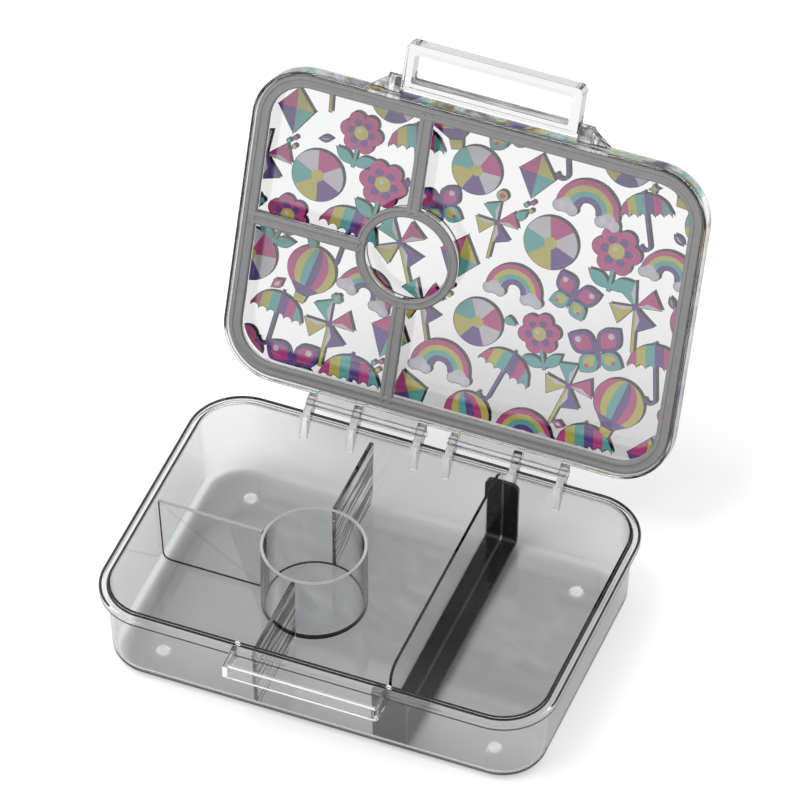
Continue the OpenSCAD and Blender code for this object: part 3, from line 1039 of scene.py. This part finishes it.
def lid_fittings(bm, box):
    """Knuckles of the hinge and lugs of the handle."""
    lid, handle, at = box.lid, box.handle, LidLevels(box)
    ears = [abs(x) for x in EAR_PLACES[:3]]
    beside_ear = lid.ear / 2 + 0.3 * MM
    root, root_top = lid.half_depth - lid.wall / 2, at.low + 3.2 * MM
    knuckle = arc(HINGE.y, HINGE.z, lid.knuckle, -150, 90, 20) + [
        (HINGE.y, root_top), (root, root_top), (root, at.low)]
    for side in (-1, 1):
        for outer, inner in zip(ears, ears[1:]):
            prism(bm, knuckle, *on_side(side, inner + beside_ear, outer - beside_ear), along_x, 0.25 * MM)
    eye, back = handle.lug, lid.wall / 2 - lid.half_depth
    lug = arc(at.pivot_y, at.pivot_z, eye, 90, 270, 20) + [(back, at.pivot_z - eye), (back, at.pivot_z + eye)]
    start = handle.half_width + LUG_AIR
    for side in (-1, 1):
        prism(bm, lug, *on_side(side, start, start + handle.lug_width), along_x, 0.3 * MM)


def lid_gussets(bm, box):
    """Slanted webs that brace the lugs."""
    lid, handle, at = box.lid, box.handle, LidLevels(box)
    start = handle.half_width + 1.3 * MM
    end = handle.half_width + LUG_AIR + handle.lug_width
    back, half_height = lid.wall / 2 - lid.half_depth, 2.2 * MM
    web = [(start, at.pivot_y - handle.lug / 2), (end, at.pivot_y - handle.lug / 2),
           (end + handle.gusset, -lid.half_depth), (end + handle.gusset, back), (start, back)]
    for side in (-1, 1):
        outline = [(side * u, v) for u, v in web]
        prism(bm, outline, at.pivot_z - half_height, at.pivot_z + half_height, along_z, 0.3 * MM)


def lid_bores(bm, box):
    """Bores for the hinge pins and the handle's trunnions."""
    lid, handle, at = box.lid, box.handle, LidLevels(box)
    air = 0.05 * MM
    inner, outer = handle.half_width - MM, handle.half_width + 3.6 * MM
    for side in (-1, 1):
        rod(bm, *on_side(side, *BORE_ENDS), HINGE.y, HINGE.z, lid.pin + air)
        rod(bm, *on_side(side, inner, outer), at.pivot_y, at.pivot_z, handle.trunnion + air)


def paint_lid(thing, at):
    """Second materials, all painted light: the print's colours as the edge refracts them, deeper along the front,
    then painted shade on the knuckles, then painted streaks on the handle's lugs.
    """
    high, low, front_low = at.top - 0.5 * MM, at.top - 4 * MM, at.top - 9 * MM
    side, face = at.middle_y + at.lid.film_corner + 2 * MM, at.middle_y + at.corner + 2 * NEAR
    paint(thing, 1, lambda centre, normal: low < centre.z < high and abs(centre.y) < face
          and max(abs(centre.y) - side, abs(centre.x) - side - at.middle_x + at.middle_y) > 0)
    front, corner_from = at.middle_y + 17 * MM, at.corner - 5 * MM
    paint(thing, 1, lambda centre, normal: front_low < centre.z < high and -face < centre.y < -front
          and math.hypot(max(abs(centre.x) - at.middle_x, 0), centre.y + at.middle_y) > corner_from)
    outside = at.lid.half_depth + NEAR
    paint(thing, 2, lambda centre, normal: centre.y > outside)
    paint(thing, 3, lambda centre, normal: centre.y < -outside)


class LUNCHBOX_OT_lid(Operator):
    """Build the lid with its sealing ribs, knuckles and handle lugs"""
    bl_idname = "lunchbox.lid"
    bl_label = "Lid"

    def execute(self, context):
        box = context.scene.lunch_box
        lid = solid("lid_clear", lid_body, box)
        combine(lid, solid("ring_rib", ring_solid, tee_section, box), "UNION")
        combine(lid, solid("bar_ribs", bar_solids, tee_section, box), "UNION")
        combine(lid, solid("lid_fittings", lid_fittings, box), "UNION")
        combine(lid, solid("lid_gussets", lid_gussets, box), "UNION")
        combine(lid, solid("lid_bores", lid_bores, box), "DIFFERENCE")
        paint_lid(lid, LidLevels(box))
        open_with_lid(lid)
        look = box.plastic
        plastic = clear_plastic("lid_plastic", look, 0.95, gloss=0.2)
        # Painted shade: the knuckles get a darker tint of the plastic that darkens more towards their edges.
        knuckle = clear_plastic("knuckle_plastic", look, 0.95, tint=0.92, edge=0.95, gloss=0.3, start=0.3)
        # Painted streaks of reflection and shade on the handle's lugs.
        painted_streaks = painted_streak_plastic("lug_streaked", look, (1, 1, 0.3), dark=0.2, light=0.9)
        # Painted refraction of the print, and painted shade, in the lid's edge.
        refracted_print = painted_refraction_plastic("lid_edge_tinted", look, box.print, 0.95)
        finish_piece(lid, "lid", ["lid_shell"], [plastic, refracted_print, knuckle, painted_streaks])
        return {"FINISHED"}


def gasket_band(bm, box):
    """The gasket's band round the rim."""
    at = LidLevels(box)
    sweep(bm, strip_section(at.band, at.lid.band, at), at.middle_x, at.middle_y, closed=True)


class LUNCHBOX_OT_gasket(Operator):
    """Build the grey gasket that seals the rim, the cup and the partitions"""
    bl_idname = "lunchbox.gasket"
    bl_label = "Gasket"

    def execute(self, context):
        box = context.scene.lunch_box
        gasket = solid("gasket_grey", gasket_band, box)
        combine(gasket, solid("gasket_ring", ring_solid, strip_section, box), "UNION")
        combine(gasket, solid("gasket_bars", bar_solids, strip_section, box), "UNION")
        open_with_lid(gasket)
        finish_piece(gasket, "lid", ["lid_gasket"], [silicone(box.plastic)])
        return {"FINISHED"}


# ---- printed film ----

def film_outline(box, shrink=0.0):
    """The film's outline in plan."""
    at = LidLevels(box)
    air = 0.15 * MM
    x, y, r = at.middle_x, at.middle_y, box.lid.film_corner - air - shrink
    quarters = enumerate(((1, 1), (-1, 1), (-1, -1), (1, -1)))
    return [point for quarter, (side_x, side_y) in quarters
            for point in arc(side_x * x, side_y * y, r, 90 * quarter, 90 * quarter + 90, 12)]


def film_sheet(bm, box):
    """The clear film that carries the print."""
    at, air = LidLevels(box), 0.02 * MM
    prism(bm, film_outline(box), at.top - box.lid.film + air, at.top - air, along_z)


def petals(count, radius, size):
    """Discs in a circle."""
    return [disc(radius * math.cos(a), radius * math.sin(a), size, 20)
            for a in [math.radians(360 * k / count) for k in range(count)]]


def wedge(inner, outer, start, end, steps=12):
    """A part of a ring between two angles."""
    rim = arc(0, 0, outer, start, end, steps)
    return rim + (arc(0, 0, inner, end, start, steps) if inner > 0 else [(0, 0)])


def moved(points, x=0.0, y=0.0, turn=0.0, scale=1.0):
    """An outline scaled, turned and moved."""
    c, s = math.cos(math.radians(turn)), math.sin(math.radians(turn))
    return [(x + scale * (c * u - s * v), y + scale * (s * u + c * v)) for u, v in points]


def strip(x0, x1, y0, y1):
    """An upright rectangle."""
    return [(x0, y0), (x1, y0), (x1, y1), (x0, y1)]


def leaf(reach, width):
    """A pointed leaf along X."""
    steps = 10
    side = [(reach * k / steps, width * math.sin(math.pi * k / steps)) for k in range(steps + 1)]
    return side + [(u, -v) for u, v in side[-2:0:-1]]


def flower():
    """A flower with two leaves on a stem."""
    shapes = [("teal", 0, moved(leaf(0.42, 0.1), 0, -0.5, turn)) for turn in (150, 30)]
    shapes.append(("teal", 0, strip(-0.025, 0.025, -0.55, 0)))
    shapes += [("pink", 1, moved(p, 0, 0.12)) for p in petals(6, 0.24, 0.15)]
    shapes += [("purple", 2, moved(p, 0, 0.12)) for p in petals(6, 0.19, 0.07)]
    return shapes + [("yellow", 3, disc(0, 0.12, 0.13, 24)), ("pale", 4, disc(-0.03, 0.15, 0.04, 12))]


def balloon():
    """A striped hot-air balloon."""
    names = ("pink", "yellow", "teal", "purple", "pink", "yellow")
    angles = [math.radians(t) for t in range(-50, 91, 10)]
    sides = [[(x * math.cos(a), 0.1 + 0.42 * math.sin(a)) for a in angles]
             for x in [-0.42 + 0.14 * k for k in range(7)]]
    shapes = [(name, 1, left + right[::-1]) for name, left, right in zip(names, sides, sides[1:])]
    shapes.append(("purple", 0, [(-0.27, -0.22), (0.27, -0.22), (0.1, -0.38), (-0.1, -0.38)]))
    shapes.append(("yellow", 1, [(-0.1, -0.4), (0.1, -0.4), (0.08, -0.54), (-0.08, -0.54)]))
    return shapes


def rainbow():
    """A rainbow that stands on two clouds."""
    shapes = [(name, 1, moved(wedge(0.5 - 0.09 * (k + 1), 0.5 - 0.09 * k, 0, 180, 18), 0, -0.15))
              for k, name in enumerate(("pink", "yellow", "teal", "purple"))]
    for side in (-0.34, 0.34):
        shapes += [("pale", 2, disc(side + dx, -0.2 + dy, r, 18))
                   for dx, dy, r in ((-0.1, -0.02, 0.09), (0, 0.03, 0.12), (0.11, -0.02, 0.09))]
    return shapes


def butterfly():
    """A butterfly with spotted wings."""
    shapes = []
    for sign in (-1, 1):
        upper = [(sign * u, v) for u, v in moved(leaf(0.5, 0.19), 0.02, 0.02, 38)]
        lower = [(sign * u, v) for u, v in moved(leaf(0.4, 0.15), 0.02, -0.04, -38)]
        shapes += [("purple", 1, upper), ("teal", 1, lower), ("pink", 2, moved(upper, sign * 0.06, 0.05, 0, 0.7)),
                   ("yellow", 2, moved(lower, sign * 0.06, -0.04, 0, 0.6)),
                   ("pale", 3, disc(sign * 0.27, 0.23, 0.05, 14)), ("pink", 3, disc(sign * 0.22, -0.2, 0.035, 14))]
    return shapes + [("purple", 4, moved(leaf(0.5, 0.045), 0, -0.26, 90))]


def umbrella():
    """An umbrella with six panels and a hooked stick."""
    names = ("pink", "yellow", "teal", "purple", "pink", "teal")
    shapes = [("purple", 0, strip(-0.02, 0.02, -0.5, 0.5)),
              ("purple", 0, moved(wedge(0.07, 0.11, 180, 360), -0.09, -0.5))]
    for k, name in enumerate(names):
        left, right = -0.48 + 0.16 * k, -0.32 + 0.16 * k
        middle = (left + right) / 2
        dip = arc(middle, 0.02, 0.08, 180, 0, 8)
        tops = [(x, 0.02 + 0.44 * math.sqrt(max(1 - (x / 0.485) ** 2, 0))) for x in (right, middle, left)]
        shapes.append((name, 1, dip + tops))
    return shapes


def pinwheel():
    """A pinwheel on a stick."""
    names = ("pink", "teal", "yellow", "purple")
    shapes = [("yellow", 0, strip(-0.022, 0.022, -0.6, 0.1))]
    for k, name in enumerate(names):
        shapes.append((name, 1, moved([(0, 0), (0.4, 0.02), (0.26, 0.3)], 0, 0.12, 90 * k)))
        shapes.append(("pale", 2, moved([(0.02, 0.005), (0.4, 0.02), (0.2, 0.08)], 0, 0.12, 90 * k)))
    return shapes + [("purple", 3, disc(0, 0.12, 0.055, 16))]


def beach_ball():
    """A ball with coloured panels."""
    names = ("pink", "pale", "teal", "yellow", "purple", "pale")
    return [(name, 1, moved(wedge(0, 0.42, 60 * k, 60 * k + 60, 10), turn=15))
            for k, name in enumerate(names)] + [("yellow", 2, disc(0, 0, 0.1, 20))]


def kite():
    """A kite with a tail."""
    top, right, low, left = (0, 0.5), (0.3, 0.14), (0, -0.3), (-0.3, 0.14)
    middle = (0, 0.14)
    shapes = [("pink", 1, [top, middle, left]), ("yellow", 1, [top, right, middle]),
              ("teal", 1, [right, low, middle]), ("purple", 1, [middle, low, left])]
    return shapes + [(name, 1, disc(0.05 * (-1) ** k, -0.36 - 0.075 * k, 0.035, 12))
                     for k, name in enumerate(("pink", "teal", "yellow", "purple"))]


def diamond(half_width, half_height):
    """A diamond on its point."""
    return [(0, half_height), (half_width, 0), (0, -half_height), (-half_width, 0)]


def small_motifs():
    """Little fillers: a drop, a leaf, a ring, a diamond, a clover and a cross."""
    drop = [(0.45 * math.sin(t) * math.sin(t / 2) ** 1.5, 0.5 * math.cos(t))
            for t in [2 * math.pi * k / 24 for k in range(24)]]
    return [
        [("teal", 1, drop)],
        [("purple", 1, moved(leaf(1.0, 0.24), -0.5, 0)), ("pale", 2, moved(leaf(0.7, 0.04), -0.35, 0))],
        [("yellow", 1, disc(0, 0, 0.42, 24)), ("pink", 2, disc(0, 0, 0.24, 20))],
        [("pink", 1, diamond(0.32, 0.5)), ("pale", 2, diamond(0.15, 0.25))],
        [("teal", 1, p) for p in petals(4, 0.26, 0.22)] + [("yellow", 2, disc(0, 0, 0.16, 14))],
        [("yellow", 1, moved(leaf(0.9, 0.16), -0.45, 0)), ("yellow", 1, moved(leaf(0.9, 0.16), 0, -0.45, 90))],
    ]


INKS = ("pink", "purple", "teal", "yellow", "pale", "dark")
# Layers of ink in a motif, the dark layers under it (its outline, and a shifted dark copy that is a painted shadow),
# the layers that get a dark line round them, and one layer to the next, in ink thicknesses.
LEVELS = 5
DARK_LEVELS = 2
OUTLINED_LEVELS = 3
LAYER_STEP = 1.2


def place_motifs(look, half_x, half_y):
    """Where each motif lies: its shapes, middle, turn and size."""
    draw = random.Random(look.seed)
    large = [balloon, flower, rainbow, butterfly, umbrella, pinwheel, beach_ball, kite]
    placed = []
    stray, tilt, smallest, largest = 2, 24, 0.86, 1.06
    row_pitch = 0.9
    rows = round(2 * half_y / (look.pitch * row_pitch)) + 1
    columns = round(2 * half_x / look.pitch) + 1
    for row in range(rows):
        for column in range(columns):
            x = -half_x + (column + 0.5 * (row % 2)) * look.pitch + draw.uniform(-stray, stray) * MM
            y = -half_y + row * 2 * half_y / (rows - 1) + draw.uniform(-stray, stray) * MM
            motif = large[(3 * row + 2 * column + draw.randrange(2)) % len(large)]()
            placed.append((motif, x, y, draw.uniform(-tilt, tilt), look.motif * draw.uniform(smallest, largest)))
    fillers = small_motifs()
    tries, margin = 4000, 0.5 * MM
    taken, wanted = 0.45, 0.5
    for _ in range(tries):
        x, y = draw.uniform(-half_x, half_x), draw.uniform(-half_y, half_y)
        size = draw.uniform(5.5, 9) * MM
        if all(math.hypot(x - px, y - py) > taken * ps + wanted * size + margin for _, px, py, _, ps in placed):
            placed.append((fillers[draw.randrange(len(fillers))], x, y, draw.uniform(0, 360), size))
    return placed


def trimmed(points, border):
    """The corners and triangles of an outline that lie inside the border."""
    points = anticlockwise(points)
    count = len(points)
    loops = [list(range(count)), list(range(count, count + len(border)))]
    corners = [Vector(p) for p in list(points) + border]
    trim_to_faces, merge_distance = 1, 1e-8
    places, _, triangles, _, _, owners = delaunay_2d_cdt(corners, [], loops, trim_to_faces, merge_distance)
    return places, [triangle for triangle, owner in zip(triangles, owners) if len(owner) == 2]


def ink_slab(bm, points, border, low, high, material):
    """One flat shape of ink, trimmed at the border."""
    places, triangles = trimmed(points, border)
    corners = {i for triangle in triangles for i in triangle}
    below, above = ({i: bm.verts.new((places[i].x, places[i].y, z)) for i in corners} for z in (low, high))
    rim = {}
    faces = []
    for triangle in triangles:
        faces += [bm.faces.new([below[i] for i in triangle]), bm.faces.new([above[i] for i in triangle])]
        for i, j in zip(triangle, triangle[1:] + triangle[:1]):
            if (j, i) in rim:
                del rim[j, i]
            else:
                rim[i, j] = True
    for i, j in rim:
        faces.append(bm.faces.new((below[i], below[j], above[j], above[i])))
    for face in faces:
        face.material_index = material


def print_layer(bm, box, base, outwards, dark):
    """All motifs in ink. Outwards is the side that they are seen from; dark prints only a shifted dark copy of each
    motif, a painted shadow.
    """
    look, at = box.print, LidLevels(box)
    half_x, half_y = at.middle_x + box.lid.film_corner, at.middle_y + box.lid.film_corner
    bare_edge = 0.3 * MM
    border = film_outline(box, bare_edge)
    for shapes, x, y, turn, size in place_motifs(look, half_x, half_y):
        for name, level, outline in shapes:
            points = anticlockwise([(u, -v) for u, v in moved(outline, x, y, turn, size)])
            around = inset(points, -look.outline)
            points = inset(points, HAIRLINE)
            if level < OUTLINED_LEVELS:
                low = base
                # The dark pass moves the copy aside as a painted shadow; the other passes keep it in place as the
                # printed outline.
                if dark:
                    around = moved(around, look.shift, -look.shift)
                else:
                    low += outwards * look.ink * LAYER_STEP
                ink_slab(bm, around, border, low, low + look.ink, INKS.index("dark"))
            if not dark:
                low = base + outwards * look.ink * (level + DARK_LEVELS) * LAYER_STEP
                ink_slab(bm, points, border, low, low + look.ink, INKS.index(name))


class LUNCHBOX_OT_print(Operator):
    """Build the lid's clear film and the print on it"""
    bl_idname = "lunchbox.print"
    bl_label = "Printed film"

    def execute(self, context):
        box = context.scene.lunch_box
        look, at = box.print, LidLevels(box)
        film = open_with_lid(solid("lid_film_clear", film_sheet, box))
        plastic = clear_plastic("film_plastic", box.plastic, 0.97, tint=0.92, gloss=0.1)
        finish_piece(film, "lid", ["lid_film"], [plastic])
        inks = [ink(name, getattr(look, name)) for name in INKS]
        base = at.top + look.ink * LAYER_STEP * (LEVELS + DARK_LEVELS)
        # The middle pass is the painted shadow of the motifs, between the print seen from inside and from outside.
        for name, outwards, dark in (("inside", -1, False), ("backing", 1, True), ("outside", 1, False)):
            layer = solid("print_" + name, print_layer, box, base, outwards, dark, weld=False)
            finish_piece(open_with_lid(layer), "lid", [], inks)
        return {"FINISHED"}


# ---- handle and pins ----

def handle_frame(bm, box):
    """The handle's frame from the front."""
    handle = box.handle
    half, grip = handle.half_width, handle.reach - handle.root_in
    grip_corner, root_corner = 3 * MM, 1.2 * MM
    outline = softened([(-half, -grip, grip_corner), (half, -grip, grip_corner),
                        (half, handle.root_in, root_corner), (-half, handle.root_in, root_corner)])
    prism(bm, outline, -handle.depth / 2, handle.depth / 2, along_z, 0.5 * MM)


def handle_window(bm, box):
    """The finger gap of the handle."""
    handle = box.handle
    half, corner = handle.half_width - handle.arm, 1 * MM
    low, high = handle.grip - (handle.reach - handle.root_in), handle.root_in - handle.root
    outline = softened([(x, y, corner) for x, y in strip(-half, half, low, high)])
    prism(bm, outline, -handle.depth, handle.depth, along_z)


def handle_trunnions(bm, box):
    """The two stubs that the handle turns on."""
    handle = box.handle
    for side in (-1, 1):
        ends = on_side(side, handle.half_width - MM, handle.half_width + 3.5 * MM)
        rod(bm, *ends, 0, 0, handle.trunnion, 0.3 * MM)


class LUNCHBOX_OT_handle(Operator):
    """Build the frame handle that latches the lid"""
    bl_idname = "lunchbox.handle"
    bl_label = "Handle"

    def execute(self, context):
        box = context.scene.lunch_box
        handle = solid("handle_clear", handle_frame, box)
        combine(handle, solid("handle_window", handle_window, box), "DIFFERENCE")
        combine(handle, solid("handle_trunnions", handle_trunnions, box), "UNION")
        levels = LidLevels(box)
        pivot = Vector((0, levels.pivot_y, levels.pivot_z))
        handle.data.transform(Matrix.Translation(pivot))
        window_root = pivot.y + box.handle.root_in - box.handle.root
        # Painted streaks of reflection and shade on the root bar's face inside the finger gap.
        paint(handle, 1, lambda at, normal: abs(at.y - window_root) < 0.3 * MM and normal.y < -0.5)
        open_with_lid(handle)
        plastic = clear_plastic("handle_plastic", box.plastic, 0.95, tint=0.9, edge=0.95, start=0.3)
        painted_streaks = painted_streak_plastic("handle_root_streaked", box.plastic, (0.08, 1, 1), dark=0.03, light=0.45)
        finish_piece(handle, "handle", ["latch_handle"], [plastic, painted_streaks])
        return {"FINISHED"}


def hinge_pin(bm, lid, side):
    """One steel rod through three ears and two knuckles."""
    rod(bm, *on_side(side, *PIN_ENDS), HINGE.y, HINGE.z, lid.pin, 0.25 * MM)


class LUNCHBOX_OT_hinge_pins(Operator):
    """Build the two steel hinge pins"""
    bl_idname = "lunchbox.hinge_pins"
    bl_label = "Hinge pins"

    def execute(self, context):
        box = context.scene.lunch_box
        material = steel(box.plastic)
        for name, side in (("left", -1), ("right", 1)):
            pin = solid("hinge_rod_" + name, hinge_pin, box.lid, side)
            finish_piece(pin, "tray", ["hinge_pin_" + name], [material])
        return {"FINISHED"}


# ---- stage ----

def floor_sheet(bm):
    """A floor well past the view."""
    half = 6.0
    for u, v in strip(-half, half, -half, half):
        bm.verts.new((u, v, GROUND))
    bm.faces.new(bm.verts)


class LUNCHBOX_OT_stage(Operator):
    """Set the camera, the pale floor and the soft light"""
    bl_idname = "lunchbox.stage"
    bl_label = "Stage"

    def execute(self, context):
        scene, look = context.scene, context.scene.lunch_box.stage
        self.camera(scene, look)
        self.floor(look)
        self.light(scene, look)
        scene.view_settings.view_transform = "Standard"
        cycles = scene.cycles
        cycles.max_bounces = cycles.transmission_bounces = 16
        cycles.diffuse_bounces, cycles.glossy_bounces, cycles.transparent_max_bounces = 2, 5, 24
        cycles.caustics_refractive = cycles.caustics_reflective = False
        return {"FINISHED"}

    def camera(self, scene, look):
        """A long lens that looks down on the box from the front right."""
        a, e = look.azimuth, look.elevation
        right = Vector((math.cos(a), math.sin(a), 0))
        up = Vector((-math.sin(a) * math.sin(e), math.cos(a) * math.sin(e), math.cos(e)))
        back = right.cross(up)
        target = Vector((0, 0, HINGE.z)) + right * look.view_right + up * look.view_up
        data = bpy.data.cameras.new("camera")
        data.lens = data.sensor_width * look.distance / look.view_width
        data.clip_end = 20
        camera = bpy.data.objects.new("camera", data)
        camera.matrix_world = (Matrix.Translation(target + back * look.distance)
                               @ Matrix((right, up, back)).transposed().to_4x4())
        scene.collection.objects.link(camera)
        scene.camera = camera

    def floor(self, look):
        """White floor that keeps the shadow of the box.

        Its lift is full only where the camera sees it directly. Rays through the plastic, reflections and the light
        that falls on the box get the small one, so the floor looks darker through the plastic than beside it.
        """
        nodes = Nodes("floor_white")
        nodes.mottle(look.floor, 0.004, 3)
        nodes.set(Roughness=1.0, Specular_IOR_Level=0.0, Emission_Color=(1, 1, 1, 1))
        path = nodes.add("ShaderNodeLightPath")
        amount = nodes.add("ShaderNodeMapRange")
        unseen_glow = 0.12
        amount.inputs["To Min"].default_value = unseen_glow
        amount.inputs["To Max"].default_value = look.glow
        nodes.link(path.outputs["Is Camera Ray"], amount.inputs["Value"])
        nodes.link(amount.outputs["Result"], nodes.shader.inputs["Emission Strength"])
        floor = solid("floor", floor_sheet)
        floor.data.materials.append(nodes.material)

    def light(self, scene, look):
        """Even light from all round, and a wide soft key light from the upper left."""
        world = bpy.data.worlds.new("white_room")
        world.use_nodes = True
        tree = world.node_tree
        background = tree.nodes["Background"]
        background.inputs["Color"].default_value = (1, 1, 1, 1)
        path = tree.nodes.new("ShaderNodeLightPath")
        seen = path.outputs["Is Camera Ray"]
        for kind in ("Is Glossy Ray", "Is Transmission Ray"):
            either = tree.nodes.new("ShaderNodeMath")
            either.operation = "MAXIMUM"
            tree.links.new(seen, either.inputs[0])
            tree.links.new(path.outputs[kind], either.inputs[1])
            seen = either.outputs[0]
        strength = tree.nodes.new("ShaderNodeMapRange")
        strength.inputs["To Min"].default_value = look.sky
        tree.links.new(seen, strength.inputs["Value"])
        tree.links.new(strength.outputs["Result"], background.inputs["Strength"])
        scene.world = world
        data = bpy.data.lights.new("key", "SUN")
        data.energy = look.sun
        data.angle = math.radians(35)
        key = bpy.data.objects.new("key", data)
        towards = Vector((-0.4, -0.3, 1.0))
        key.rotation_euler = towards.to_track_quat("Z", "Y").to_euler()
        key.visible_glossy = False
        key.visible_transmission = False
        scene.collection.objects.link(key)


# ---- panel and registration ----

STEPS = (LUNCHBOX_OT_tray, LUNCHBOX_OT_cup_and_partitions, LUNCHBOX_OT_divider, LUNCHBOX_OT_lid,
         LUNCHBOX_OT_gasket, LUNCHBOX_OT_print, LUNCHBOX_OT_handle, LUNCHBOX_OT_hinge_pins, LUNCHBOX_OT_stage)


class LUNCHBOX_PT_sidebar(Panel):
    """Buttons for the pieces of the lunch box"""
    bl_label = "Lunch box"
    bl_idname = "LUNCHBOX_PT_sidebar"
    bl_space_type = "VIEW_3D"
    bl_region_type = "UI"
    bl_category = "Lunch box"

    def draw(self, context):
        for step in STEPS:
            self.layout.operator(step.bl_idname)


CLASSES = (TraySizes, InsertSizes, LidSizes, HandleSizes, PrintLook, PlasticLook, StageLook, LunchBox,
           *STEPS, LUNCHBOX_PT_sidebar)


def register():
    """Make the classes and the settings known."""
    for cls in CLASSES:
        bpy.utils.register_class(cls)
    bpy.types.Scene.lunch_box = PointerProperty(type=LunchBox)


def unregister():
    """Take the classes and the settings away again."""
    del bpy.types.Scene.lunch_box
    for cls in reversed(CLASSES):
        bpy.utils.unregister_class(cls)


def main():
    """Build every piece in order."""
    register()
    for step in STEPS:
        group, name = step.bl_idname.split(".")
        getattr(getattr(bpy.ops, group), name)()


if __name__ == "__main__":
    main()
